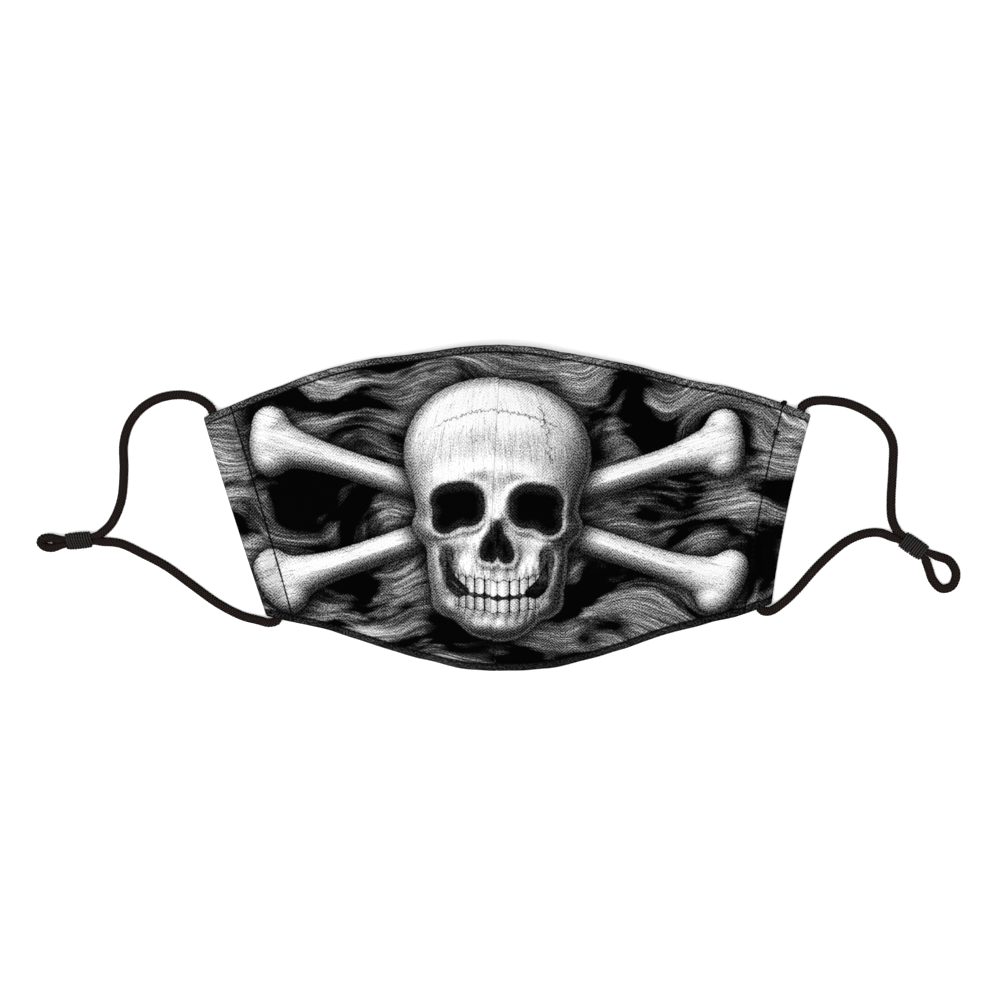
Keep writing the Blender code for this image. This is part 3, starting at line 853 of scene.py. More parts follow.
def bone_edge(x, y, bone):
    """The distance from the bone's edge."""
    along, across, length = bone_place(x, y, bone)
    from_end = np.minimum(along, length - along)
    half_width = SHAFT_HALF_WIDTH + FLARE * np.exp(-((from_end / FLARE_REACH) ** 2))
    edge = np.hypot(np.maximum(-from_end, 0), across) - half_width
    for end in (0, length):
        for side in (1, -1):
            outward = KNOB_STAGGER * side * (1 if end else -1)
            knob = np.hypot(along - end - outward, across - side * KNOB_SPREAD) - KNOB_RADIUS
            edge = joined(edge, knob, KNOB_BLEND)
    return edge


def bone_place(x, y, bone):
    """The places along and across the bone, and its length."""
    dx, dy = bone.end_x - bone.start_x, bone.end_y - bone.start_y
    length = math.hypot(dx, dy)
    along = ((x - bone.start_x) * dx + (y - bone.start_y) * dy) / length
    return along, ((y - bone.start_y) * dx - (x - bone.start_x) * dy) / length, length


def skull_tone(x, y):
    """How light the skull is drawn, before its strokes."""
    steep_x, steep_y = slopes(skull_relief, x, y)
    for edge_at, radius, share in (
        (body_edge, BODY_ROUNDING, BODY_SHARE),
        (skull_edge, RIM_ROUNDING, RIM_SHARE),
    ):
        slope_x, slope_y = rounding(edge_at, radius, x, y)
        steep_x, steep_y = steep_x + share * slope_x, steep_y + share * slope_y
    light, facing = shaded(steep_x, steep_y)
    rim = 0.45 + 0.55 * fade(0.0, 5.0, -skull_edge(x, y))
    return (0.03 + light**1.9) * (0.30 + 0.70 * facing**0.8) * rim


def nearest_bone(x, y):
    """The edge, tone and places of whichever bone is nearer, the first lying on top."""
    edge = np.full_like(x, 1e3)
    tone, across, along = np.zeros((3, *x.shape))
    for order, bone in enumerate(BONES):
        edge_at = partial(bone_edge, bone=bone)
        bone_at = edge_at(x, y)
        light, facing = shaded(*rounding(edge_at, BONE_ROUNDING, x, y))
        nearer = bone_at < edge
        place_along, place_across, _ = bone_place(x, y, bone)
        tone = np.where(nearer, (0.03 + 0.95 * light**1.8) * (0.30 + 0.70 * facing**0.7), tone)
        across = np.where(nearer, place_across, across)
        along = np.where(nearer, place_along + SECOND_BONE_ALONG * order, along)
        edge = np.minimum(edge, bone_at)
    return edge, tone, across, along


def design_values(x, y):
    """Every value of the printed design that the print's material reads, at each point."""
    edge, bone_tone, across, along = nearest_bone(x, y)
    tooth, upper, lower = tooth_places(x, y)
    bulge = 1 - ((y - MERIDIAN_MIDDLE) / MERIDIAN_REACH) ** 2
    meridian = x / np.sqrt(np.maximum(bulge, MERIDIAN_LEAST))
    return {
        "print_edges": (skull_edge(x, y), hollow_edge(x, y), edge),
        "print_tones": (skull_tone(x, y), bone_tone, meridian),
        "print_teeth": (tooth, upper, lower),
        "print_bone": (across, along, np.abs(x)),
    }


# Making pieces.


def add_piece(name, shell, material, replaces=()):
    """A new mesh piece from a bmesh, which rides on the mask."""
    mesh = bpy.data.meshes.new(name)
    shell.to_mesh(mesh)
    shell.free()
    mesh.shade_smooth()
    mesh.materials.append(material)
    piece = bpy.data.objects.new(name, mesh)
    bpy.context.scene.collection.objects.link(piece)
    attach(piece, BODY)
    if replaces:
        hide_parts(*replaces)
    return piece


def add_tube(shell, rings, sides, reach=None):
    """A tube in the bmesh, through rings of (middle, side direction, up direction, radius).

    Its own UV map runs round the tube from 0 to 1, and along it in metres. reach, if given,
    gives a share of the radius for a turn and a length. The seam and the ends stay open."""
    steps = len(rings) - 1
    grid = bmesh.ops.create_grid(shell, x_segments=sides, y_segments=steps, size=1, calc_uvs=True)
    lengths = [0.0]
    for before, after in zip(rings, rings[1:]):
        lengths.append(lengths[-1] + (after[0] - before[0]).length)
    uv = shell.loops.layers.uv.active
    for vertex in grid["verts"]:
        turn = round((vertex.co.x + 1) / 2 * sides)
        ring = round((vertex.co.y + 1) / 2 * steps)
        middle, side, up, radius = rings[ring]
        if reach:
            radius *= reach(turn % sides / sides, lengths[ring])
        angle = 2 * math.pi * (turn % sides) / sides
        for loop in vertex.link_loops:
            loop[uv].uv = (turn / sides, lengths[ring])
        vertex.co = middle + side * radius * math.cos(angle) + up * radius * math.sin(angle)
    return grid["verts"]


def close_tubes(shell):
    """Join the seams of the bmesh's tubes and fill their ends."""
    bmesh.ops.remove_doubles(shell, verts=shell.verts, dist=1e-7)
    open_edges = [edge for edge in shell.edges if edge.is_boundary]
    if open_edges:
        bmesh.ops.holes_fill(shell, edges=open_edges, sides=0)
    bmesh.ops.recalc_face_normals(shell, faces=shell.faces)


def new_shell():
    """An empty bmesh with the UV map that the materials read."""
    shell = bmesh.new()
    shell.loops.layers.uv.new("surface")
    return shell


def framed_rings(line, radius, first_up):
    """Rings along a line of (point, thickness share) pairs, without twist."""
    rings = []
    up = Vector(first_up)
    for i, (point, share) in enumerate(line):
        before = line[max(i - 1, 0)][0]
        after = line[min(i + 1, len(line) - 1)][0]
        along = (after - before).normalized()
        up = (up - along * up.dot(along)).normalized()
        rings.append((point, along.cross(up), up, radius * share))
    return rings


def rounded_ends(rings, depth):
    """The same rings with their ends drawn to a point over a depth, as a blunt round end."""
    made = []
    first, last = rings[0][0], rings[-1][0]
    for middle, side, up, radius in rings:
        near = min((middle - first).length, (middle - last).length)
        t = 1 - min(near / depth, 1)
        made.append((middle, side, up, radius * math.sqrt(max(1 - t * t, 0))))
    return made


def braid_height(turn, along, settings):
    """The height of the braid at a turn round the cord and a length along it, from 0 to 1."""
    strands = settings.braid_strands
    a = turn * strands + along / settings.braid_pitch
    b = turn * strands - along / settings.braid_pitch
    over = (math.floor(a) + math.floor(b)) % 2
    ridge_a = math.sin(math.pi * (a % 1))
    ridge_b = math.sin(math.pi * (b % 1))
    upper, lower = (ridge_a, ridge_b) if over else (ridge_b, ridge_a)
    return upper * (BARE_STRAND_HEIGHT + (1 - BARE_STRAND_HEIGHT) * lower)


def cloth_frame(half, across, down):
    """A point of the cloth's middle and its outward direction, over the dome or the tunnel."""
    width = float(row_width(half, down))
    stitch = 1 - TUNNEL_WIDTH / width
    seam = SEAM_GAP / 2 / width

    def place(a, d):
        if a <= stitch:
            level = dome_level(half, (a - seam) / (stitch - seam), a, d)
        else:
            level = tunnel_level((1 - a) * width)
        return to_vector(plan_point(half, a, d), level)

    step = 1e-3
    point = place(across, down)
    side = (place(across - step, down) - point) * -half.side
    before = down - step if down >= 1 else down
    chinward = place(across, min(down + step, 1)) - place(across, before)
    outward = side.cross(chinward).normalized()
    return point, outward if outward.z > 0 else -outward


class Formula:
    """A number in a material's nodes. Python's arithmetic on it adds Math nodes."""

    def __init__(self, tree, socket):
        self.tree = tree
        self.socket = socket

    def math(self, operation, *others, clamp=False):
        node = self.tree.nodes.new("ShaderNodeMath")
        node.operation = operation
        node.use_clamp = clamp
        for slot, value in zip(node.inputs, (self, *others)):
            feed(self.tree, slot, value)
        return Formula(self.tree, node.outputs[0])

    def __add__(self, other):
        return self.math("ADD", other)

    def __sub__(self, other):
        return self.math("SUBTRACT", other)

    def __mul__(self, other):
        return self.math("MULTIPLY", other)

    def __truediv__(self, other):
        return self.math("DIVIDE", other)

    def __pow__(self, other):
        return self.math("POWER", other)

    def __abs__(self):
        return self.math("ABSOLUTE")

    __radd__ = __add__
    __rmul__ = __mul__

    def __rsub__(self, other):
        return self * -1 + other

    def clamped(self):
        return self.math("MAXIMUM", 0.0, clamp=True)

    def least(self, other):
        return self.math("MINIMUM", other)

    def most(self, other):
        return self.math("MAXIMUM", other)

    def fraction(self):
        return self.math("FRACT")

    def wave(self):
        """A wave from 0 to 1, one for each whole number."""
        return (self * (2 * math.pi)).math("SINE") * 0.5 + 0.5

    def wave_top(self):
        """1 at each whole number, and 0 from a quarter away from it."""
        return (self * (2 * math.pi)).math("COSINE").most(0.0)

    def fade(self, low, high):
        """0 at low and 1 at high, and smooth between them."""
        node = self.tree.nodes.new("ShaderNodeMapRange")
        node.interpolation_type = "SMOOTHSTEP"
        feed(self.tree, node.inputs["Value"], self)
        node.inputs["From Min"].default_value = low
        node.inputs["From Max"].default_value = high
        return Formula(self.tree, node.outputs["Result"])

    def over(self, other, share):
        """This value where share is 1 and the other where it is 0."""
        return other + (self - other) * share


def feed(tree, slot, value):
    if isinstance(value, Formula):
        tree.links.new(value.socket, slot)
    else:
        slot.default_value = value


class Finish:
    """A material in the making: its node tree and its Principled shader."""

    def __init__(self, name, roughness, specular):
        self.material = bpy.data.materials.new(name)
        self.material.use_nodes = True
        self.tree = self.material.node_tree
        self.shader = self.tree.nodes["Principled BSDF"]
        self.shader.inputs["Roughness"].default_value = roughness
        self.shader.inputs["Specular IOR Level"].default_value = specular

    def attribute(self, name):
        """The three numbers of a piece's own attribute."""
        node = self.tree.nodes.new("ShaderNodeAttribute")
        node.attribute_name = name
        return self.parts(node.outputs["Vector"])

    def painted_top_light(self):
        """Painted top light: 1 where the surface faces up and 0 at its flanks, which stay darker as
        painted shade.
        """
        node = self.tree.nodes.new("ShaderNodeTexCoord")
        _, _, z = self.parts(node.outputs["Normal"])
        return z.fade(0.15, 0.95)

    def surface(self):
        """The piece's own UV map: the flat cloth's place in metres, or a tube's turn and length."""
        node = self.tree.nodes.new("ShaderNodeUVMap")
        node.uv_map = "surface"
        u, v, _ = self.parts(node.outputs["UV"])
        return u, v

    def parts(self, socket):
        node = self.tree.nodes.new("ShaderNodeSeparateXYZ")
        self.tree.links.new(socket, node.inputs[0])
        return [Formula(self.tree, output) for output in node.outputs]

    def noise(self, x, y, detail, seed):
        """Smooth noise from about 0 to 1, with features one unit across."""
        place = self.tree.nodes.new("ShaderNodeCombineXYZ")
        feed(self.tree, place.inputs[0], x)
        feed(self.tree, place.inputs[1], y)
        place.inputs[2].default_value = seed
        node = self.tree.nodes.new("ShaderNodeTexNoise")
        node.inputs["Scale"].default_value = 1.0
        node.inputs["Detail"].default_value = detail
        node.inputs["Roughness"].default_value = NOISE_ROUGHNESS
        self.tree.links.new(place.outputs[0], node.inputs["Vector"])
        return Formula(self.tree, node.outputs["Fac"])

    def colour(self, dark, light, share):
        """The surface's colour, from dark to light by a share."""
        node = self.tree.nodes.new("ShaderNodeMix")
        node.data_type = "RGBA"
        feed(self.tree, node.inputs["Factor"], share)
        node.inputs[6].default_value = (*dark, 1)
        node.inputs[7].default_value = (*light, 1)
        self.tree.links.new(node.outputs[2], self.shader.inputs["Base Color"])

    def bump(self, height, depth):
        """Small relief: height from 0 to 1 stands for a depth in metres."""
        node = self.tree.nodes.new("ShaderNodeBump")
        node.inputs["Strength"].default_value = 1.0
        node.inputs["Distance"].default_value = depth
        feed(self.tree, node.inputs["Height"], height)
        self.tree.links.new(node.outputs[0], self.shader.inputs["Normal"])


def twill(u, v):
    """The cloth's herringbone twill at a place in metres: 0 between its ribs and 1 on them."""
    settings = print_settings()
    column = settings.chevron_width
    side = abs((u * (1 / MM) / (2 * column)).fraction() - 0.5) * (2 * column)
    return ((side + v * (1 / MM)) / settings.twill_pitch).wave()


def pen_lines(finish, x, y, seed, width):
    """1 on thin wandering lines that run along y, and 0 between them."""
    drawn = finish.noise(x, y, 2.0, seed)
    return abs(drawn - 0.5).fade(width, width * 0.25)


def smoke(finish, x, y):
    """Windswept strands of smoke that wave across the ground, with black between them."""
    sway = (finish.noise(x * 0.017, y * 0.022, 1.5, 21.0) - 0.5) * 62.0
    drift = (finish.noise(x * 0.020, y * 0.016, 1.5, 22.0) - 0.5) * 40.0
    along, across = x + drift, y + sway
    body = finish.noise(along * 0.024, across * 0.060, 3.0, 23.0).fade(0.43, 0.60)
    strands = finish.noise(across * 0.62, along * 0.026, 3.5, 24.0).fade(0.30, 0.74)
    streaks = pen_lines(finish, across * 0.42, along * 0.018, 25.0, 0.018)
    mist = finish.noise(x * 0.020, y * 0.028, 2.0, 26.0).fade(0.34, 0.66) * body * 0.075
    return body * (strands * strands * 0.44 + 0.030) + streaks * body * 0.30 + mist


def bone(finish, tone, across, along):
    """A bone's tone with its strokes and pits."""
    hair = finish.noise(across * 1.9, along * 0.06, 3.0, 2.0)
    pits = finish.noise(across * 0.9, along * 0.7, 3.0, 6.0)
    dark = pen_lines(finish, across * 0.55, along * 0.030, 12.0, 0.016)
    return tone * (0.60 + hair * 0.78) * (0.78 + pits * 0.38) * (1.0 - dark * 0.45)


def teeth(finish, bare, hair):
    """Both rows of teeth over the bare bone, dark between them."""
    tooth, upper, lower = finish.attribute("print_teeth")
    place = tooth.fraction()
    round_tooth = 1.0 - abs(place * 2.0 - 1.0)
    corner = (1.0 - round_tooth) ** 3.0
    row_end = tooth.fade(4.85, 4.60)
    past_upper = (upper - 0.93 + corner * 0.20).fade(0.0, 0.05)
    past_lower = (lower - 0.93 + corner * 0.20).fade(0.0, 0.05)
    margin = (1.0 - round_tooth) * 0.16
    for row, brightness in ((upper, 0.95), (lower, 0.74)):
        crown = (row - margin).fade(-0.02, 0.07) * (0.95 - corner * 0.24 - row).fade(-0.02, 0.03)
        light = (1.15 - abs(place - 0.36) * 1.25) * (0.62 + row * 0.75 - row * row * 0.55)
        enamel = light * brightness * (0.66 + hair * 0.55) * (1.0 - tooth * 0.13)
        bare = enamel.over(bare, crown * row_end)
        line = abs(row - margin - 0.02).fade(0.075, 0.015) * 0.70
        gap = round_tooth.fade(0.24, 0.08) * row.fade(-0.30, 0.12) * row.fade(1.20, 1.0)
        bare = bare * (1.0 - (line + gap * 0.96).least(1.0) * row_end)
    return bare * (1.0 - past_upper * past_lower * row_end * 0.97)


def skull(finish, tone, meridian, side, height, hollow):
    """The skull's tone with its strokes, suture, crack, hollows and teeth."""
    hair = finish.noise(meridian * 1.6, height * 0.085, 3.0, 4.0)
    blotch = finish.noise(meridian * 0.10, height * 0.10, 3.0, 5.0)
    dark = pen_lines(finish, meridian * 0.42, height * 0.035, 13.0, 0.018)
    pale = pen_lines(finish, meridian * 0.50, height * 0.030, 14.0, 0.018)
    bare = tone * (0.66 + hair * 0.62) * (0.62 + blotch * 0.70)
    bare = bare * (1.0 - dark * 0.36) * (1.0 + pale * 0.35)
    wander = (finish.noise(meridian * 0.75, height * 0.3, 3.0, 7.0) - 0.5) * 5.0
    suture = abs(height - 37.5 + side * side * 0.012 + wander).fade(0.10, 0.75) * 0.65 + 0.35
    bare = bare * suture.over(1.0, side.fade(26.0, 20.0))
    zigzag = (finish.noise(meridian * 0.1, height * 0.45, 3.0, 8.0) - 0.5) * 9.0
    crack = abs(meridian - 20.0 + zigzag).fade(0.08, 0.55) * 0.75 + 0.25
    bare = bare * crack.over(1.0, height.fade(14.0, 19.0) * height.fade(44.0, 38.0))
    bare = bare * (hollow.fade(-0.6, 2.2) * 0.85 + 0.15)
    bare = teeth(finish, bare, hair)
    glow = hollow.fade(-3.0, 0.0) * (0.3 + hair) * 0.012
    return glow.over(bare, hollow.fade(0.18, -0.18))


def printed_cloth():
    """The outer face: an airbrushed design in greys on a black ground, on twill."""
    settings = print_settings()
    finish = Finish("printed_cloth", roughness=0.95, specular=0.0)
    u, v = finish.surface()
    skull_line, hollow, bone_line = finish.attribute("print_edges")
    skull_light, bone_light, meridian = finish.attribute("print_tones")
    bone_across, bone_along, side = finish.attribute("print_bone")
    from_hem, end, casing = finish.attribute("print_hem")
    unit = 1 / settings.design_unit
    x, y = u * unit, v * unit

    # The smoke, the bones and the skull, each with a soft shadow on what lies behind it.
    tone = smoke(finish, x, y) * bone_line.fade(-1.0, 7.0)
    ragged = bone_line + (finish.noise(x * 0.8, y * 0.8, 2.0, 3.0) - 0.5) * 0.5
    tone = bone(finish, bone_light, bone_across, bone_along).over(tone, ragged.fade(0.2, -0.2))
    tone = tone * (skull_line.fade(-0.5, 9.0) * 0.97 + 0.03)
    ragged = skull_line + (finish.noise(x * 0.7, y * 0.7, 2.0, 9.0) - 0.5) * 0.4
    drawn = skull(finish, skull_light, meridian, side, y, hollow)
    drawn = drawn + ragged.fade(-0.2, -0.5) * ragged.fade(-2.0, -0.9) * 0.035
    tone = drawn.over(tone, ragged.fade(0.2, -0.2))

    # The hem's folded-over band is darkened as painted shade, at the chin most, and is flecked with
    # wear.
    band_shade_and_fleck = from_hem.fade(HEM_WIDTH / MM + 0.05, HEM_WIDTH / MM - 0.30)
    speckle = finish.noise(x * 1.55, y * 1.55, 1.5, 11.0).fade(0.36, 0.64)
    fleck = band_shade_and_fleck * speckle * (1.0 - end * 0.85) * 0.055
    tone = tone * (1.0 - band_shade_and_fleck * (0.55 + end * 0.40)) + fleck
    tone = (tone * settings.ink_gain).clamped()

    # The weave and the grain show in the greys; painted shade darkens the stitch lines' creases and
    # the fold.
    ribs = twill(u, v)
    region = finish.noise(x * 0.03, y * 0.03, 1.0, 10.0).fade(0.35, 0.60) * 0.70 + 0.30
    middle = (tone * (1.12 - tone)).most(0.0) ** 0.70
    weave = (ribs.fade(0.15, 0.85) - 0.5) * region * settings.twill_contrast
    inked = tone + middle * (weave + (speckle - 0.5) * settings.grain)
    hem_crease_shade = abs(from_hem - HEM_WIDTH / MM).fade(0.66, 0.22) * 0.86
    casing_crease_shade = casing.fade(0.62, 0.20) * 0.90
    # Painted shade where the cloth turns under at its edge.
    fold = from_hem.fade(0.80, 0.20) * 0.62
    inked = (inked * (1.0 - hem_crease_shade.most(casing_crease_shade).most(fold))).clamped()
    finish.colour(settings.ground_colour, settings.highlight_colour, inked)
    fibres = finish.noise(u * 5000, v * 5000, 2.0, 12.0)
    finish.bump(ribs * 0.7 + fibres * 0.3, depth=0.00009)
    return finish.material


def plain_cloth():
    """The inner face: the same twill, plain black."""
    settings = print_settings()
    finish = Finish("plain_cloth", roughness=0.9, specular=0.1)
    u, v = finish.surface()
    ribs = twill(u, v)
    fibres = finish.noise(u * 2500, v * 2500, 3.0, 1.0)
    lightness = finish.noise(u * 60, v * 60, 3.0, 2.0)
    share = ribs * 0.4 + fibres * 0.4 + lightness * 0.3
    finish.colour(settings.ground_colour, settings.lining_colour, share)
    finish.bump(ribs * 0.7 + fibres * 0.3, depth=0.00008)
    return finish.material


def braided_elastic():
    """Matt black polyester over rubber, with painted shade between the strands of the braid and on
    the cord's flanks.
    """
    settings = cord_settings()
    finish = Finish("braided_elastic", roughness=0.85, specular=0.0)
    height, _, _ = finish.attribute("braid")
    u, v = finish.surface()
    fibres = finish.noise(u * 60, v * 1800, 3.0, 1.0)
    dust = finish.noise(u * 6, v * 260, 3.0, 2.0).fade(0.55, 0.75)
    # Painted shade between the strands from the braid's height, streaked by fibres, with real dust.
    lightness = height * height * (0.40 + fibres * 0.95) + dust * 0.12
    # Painted top light: the cord's top is lighter than its flanks.
    lightness = lightness * (finish.painted_top_light() + 0.10)
    finish.colour(settings.gap_shade_colour, settings.strand_colour, lightness.clamped())
    finish.bump(fibres, depth=0.00006)
    return finish.material


def winding_thread():
    """Matt black thread of two plies, with a painted highlight along its crest and painted shade
    between its plies and on its flanks.
    """
    settings = winding_settings()
    finish = Finish("winding_thread", roughness=0.60, specular=0.01)
    u, v = finish.surface()
    # Painted highlight along the thread's outward crest.
    crest = (u - 0.25).wave_top()
    plies = (u * 2.0 + v * (1 / settings.ply_pitch)).wave()
    fibres = finish.noise(u * 18, v * 3200, 2.0, 1.0)
    # Painted top light: the turns that face up are lighter.
    share = (plies * 0.40 + fibres * 0.60) * crest**4 * (0.01 + finish.painted_top_light() * 1.15)
    finish.colour(settings.gap_shade_colour, settings.thread_colour, share)
    finish.bump(plies * 0.8 + fibres * 0.2, depth=0.00008)
    return finish.material


def stitch_thread():
    """Fine black sewing thread, with painted shade between its plies."""
    settings = stitch_settings()
    finish = Finish("stitch_thread", roughness=0.7, specular=0.03)
    u, v = finish.surface()
    plies = (u * 2.0 + v * STITCH_PLIES_PER_METRE).wave()
    # Painted shade between the plies, against their lit tops.
    finish.colour(STITCH_GAP_SHADE_COLOUR, settings.thread_colour, plies)
    finish.bump(plies, depth=0.00004)
    return finish.material


def pale_floor():
    """White paper with a faint tooth."""
    settings = stage_settings()
    finish = Finish("pale_floor", roughness=1.0, specular=0.0)
    node = finish.tree.nodes.new("ShaderNodeTexCoord")
    x, y, _ = finish.parts(node.outputs["Object"])
    tooth = finish.noise(x * PAPER_TOOTH, y * PAPER_TOOTH, 3.0, 1.0)
    shade = tuple(PAPER_SHADE * value for value in settings.floor_colour)
    finish.colour(shade, settings.floor_colour, tooth)
    return finish.material


# What every colour among the settings shares.
COLOUR = {"subtype": "COLOR", "min": 0.0, "max": 1.0}


class ClothSettings(bpy.types.PropertyGroup):
    """How much the sewn cloth moves out of its plain shape."""

    pucker: FloatProperty(
        name="Puckers",
        description="How strongly the cloth puckers beside its stitches",
        default=1.0,
        min=0.0,
        max=3.0,
        subtype="FACTOR",
    )
    undulation: FloatProperty(
        name="Undulation",
        description="Height of the soft waves in the cloth",
        default=UNDULATION_DEPTH,
        unit="LENGTH",
    )


class PrintSettings(bpy.types.PropertyGroup):
    """The printed design and the weave that shows through it."""

    design_unit: FloatProperty(
        name="Design unit",
        description="Length of one unit of the design's tables",
        default=0.00101,
        unit="LENGTH",
        precision=5,
    )
    design_x: FloatProperty(
        name="Design X",
        description="Where the middle of the design lies, towards the mask's right",
        default=-0.0040,
        unit="LENGTH",
        precision=4,
    )
    design_y: FloatProperty(
        name="Design Y",
        description="Where the middle of the design lies, towards the nose edge",
        default=-0.0005,
        unit="LENGTH",
        precision=4,
    )
    ground_colour: FloatVectorProperty(
        name="Ground",
        description="The print's black",
        default=(0.0010, 0.0010, 0.0012),
        **COLOUR,
    )
    highlight_colour: FloatVectorProperty(
        name="Highlight",
        description="The print's lightest tone",
        default=(0.64, 0.632, 0.636),
        **COLOUR,
    )
    lining_colour: FloatVectorProperty(
        name="Inner face",
        description="The lightest tone of the plain black inner face",
        default=(0.008, 0.008, 0.009),
        **COLOUR,
    )
    ink_gain: FloatProperty(
        name="Ink gain",
        description="How far the print's lights are driven towards its highlight",
        default=1.30,
    )
    twill_pitch: FloatProperty(
        name="Twill pitch",
        description="Distance between ribs of the twill, along the cloth, in millimetres",
        default=1.22,
    )
    chevron_width: FloatProperty(
        name="Chevron width",
        description="Width of a column of the herringbone, in millimetres",
        default=4.2,
    )
    twill_contrast: FloatProperty(
        name="Twill contrast",
        description="How strongly the weave shows through the greys",
        default=0.80,
        subtype="FACTOR",
    )
    grain: FloatProperty(
        name="Grain",
        description="How strongly the print is speckled",
        default=0.95,
        subtype="FACTOR",
    )


class CordSettings(bpy.types.PropertyGroup):
    """The braided ear cords."""

    braid_strands: IntProperty(
        name="Strands",
        description="Strands that run each way round the cord",
        default=6,
        min=3,
        max=16,
    )
    braid_pitch: FloatProperty(
        name="Braid pitch",
        description="Length of cord in which a strand moves by its own width",
        default=0.00105,
        unit="LENGTH",
        precision=5,
    )
    braid_depth: FloatProperty(
        name="Braid depth",
        description="Relief of the braid as a share of the cord's radius",
        default=0.30,
        subtype="FACTOR",
    )
    # The lit copy of the cord's colour, on the strands' tops, which the painted top light brings
    # out.
    strand_colour: FloatVectorProperty(
        name="Strand",
        description="Colour on top of the strands",
        default=(0.0400, 0.0280, 0.0250),
        **COLOUR,
    )
    # Painted shade: the dark between the braid's strands.
    gap_shade_colour: FloatVectorProperty(
        name="Gap",
        description="Colour between the strands",
        default=(0.0005, 0.0004, 0.0004),
        **COLOUR,
    )


class WindingSettings(bpy.types.PropertyGroup):
    """The wound thread of the adjusters."""

    turns: IntProperty(
        name="Turns",
        description="Turns of thread on an adjuster",
        default=10,
        min=4,
        max=20,
    )
    ply_pitch: FloatProperty(
        name="Ply pitch",
        description="Length of thread in which its plies turn once",
        default=0.0011,
        unit="LENGTH",
        precision=5,
    )
    # The lit copy of the thread's colour, for the painted highlight on its crest.
    thread_colour: FloatVectorProperty(
        name="Thread",
        description="Colour on top of the plies",
        default=(0.056, 0.050, 0.049),
        **COLOUR,
    )
    # Painted shade: the dark between the thread's plies.
    gap_shade_colour: FloatVectorProperty(
        name="Gap",
        description="Colour between the plies",
        default=(0.0006, 0.0006, 0.0006),
        **COLOUR,
    )


class StitchSettings(bpy.types.PropertyGroup):
    """The lockstitches that hold the hems and the tunnels."""

    pitch: FloatProperty(
        name="Stitch length",
        description="Distance from one stitch to the next",
        default=0.0022,
        unit="LENGTH",
        precision=4,
    )
    shown: FloatProperty(
        name="Shown share",
        description="Share of each stitch that lies on the surface",
        default=0.76,
        subtype="FACTOR",
    )
    thread_diameter: FloatProperty(
        name="Thread",
        description="Diameter of the sewing thread",
        default=0.00056,
        unit="LENGTH",
        precision=5,
    )
    # The lit copy of the thread's colour, on the plies' tops, against the painted shade between
    # them.
    thread_colour: FloatVectorProperty(
        name="Thread colour",
        description="Colour on top of the thread's plies",
        default=(0.0035, 0.0035, 0.0038),
        **COLOUR,
    )


class StageSettings(bpy.types.PropertyGroup):
    """The floor, the light and the camera."""

    floor_colour: FloatVectorProperty(
        name="Floor",
        description="Colour of the floor",
        default=(0.97, 0.97, 0.965),
        **COLOUR,
    )
    floor_size: FloatProperty(
        name="Floor size",
        description="Length of the floor's sides",
        default=6.0,
        unit="LENGTH",
    )
    sky_strength: FloatProperty(
        name="Surrounding light",
        description="Strength of the even light from all round",
        default=0.74,
    )
    lamp_power: FloatProperty(
        name="Lamp",
        description="Power of the large soft lamp",
        default=33.0,
        unit="POWER",
    )
    camera_height: FloatProperty(
        name="Camera height",
        description="Height of the camera above the floor",
        default=1.40,
        unit="LENGTH",
    )
    view_width: FloatProperty(
        name="View width",
        description="Width of the floor that the camera sees",
        default=0.380,
        unit="LENGTH",
    )
    camera_x: FloatProperty(
        name="Camera X",
        description="Where the camera stands",
        default=-0.0027,
        unit="LENGTH",
        precision=4,
    )
    camera_y: FloatProperty(
        name="Camera Y",
        description="Where the camera stands",
        default=0.0029,
        unit="LENGTH",
        precision=4,
    )


class SKULLMASK_OT_stage(bpy.types.Operator):
    """Lay a pale floor and set the light and the camera, straight above the mask"""

    bl_idname = "skull_mask.stage"
    bl_label = "Stage"
    bl_options = {"REGISTER", "UNDO"}

    def execute(self, context):
        settings = stage_settings()
        self.add_camera(context, settings)
        self.add_floor(context, settings)
        self.add_light(context, settings)
        return {"FINISHED"}

    def add_camera(self, context, settings):
        data = bpy.data.cameras.new("photo_camera")
        data.lens = data.sensor_width * settings.camera_height / settings.view_width
        data.clip_end = 100
        camera = bpy.data.objects.new("photo_camera", data)
        camera.location = (settings.camera_x, settings.camera_y, settings.camera_height)
        context.scene.collection.objects.link(camera)
        context.scene.camera = camera

    def add_floor(self, context, settings):
        shell = bmesh.new()
        bmesh.ops.create_grid(shell, x_segments=2, y_segments=2, size=settings.floor_size / 2)
        mesh = bpy.data.meshes.new("floor")
        shell.to_mesh(mesh)
        shell.free()
        mesh.materials.append(pale_floor())
        floor = bpy.data.objects.new("floor", mesh)
        context.scene.collection.objects.link(floor)

    def add_light(self, context, settings):
        world = bpy.data.worlds.new("studio")
        world.use_nodes = True
        sky = world.node_tree.nodes["Background"]
        sky.inputs["Color"].default_value = (1, 1, 1, 1)
        sky.inputs["Strength"].default_value = settings.sky_strength
        context.scene.world = world
        lamp_data = bpy.data.lights.new("soft_lamp", "AREA")
        lamp_data.energy = settings.lamp_power
        lamp_data.size = LAMP_SIZE
        lamp = bpy.data.objects.new("soft_lamp", lamp_data)
        lamp.location = LAMP_PLACE
        lamp.rotation_euler = (-LAMP_PLACE).to_track_quat("-Z", "Y").to_euler()
        context.scene.collection.objects.link(lamp)
        view = context.scene.view_settings
        view.view_transform = "Standard"
        view.look = "None"


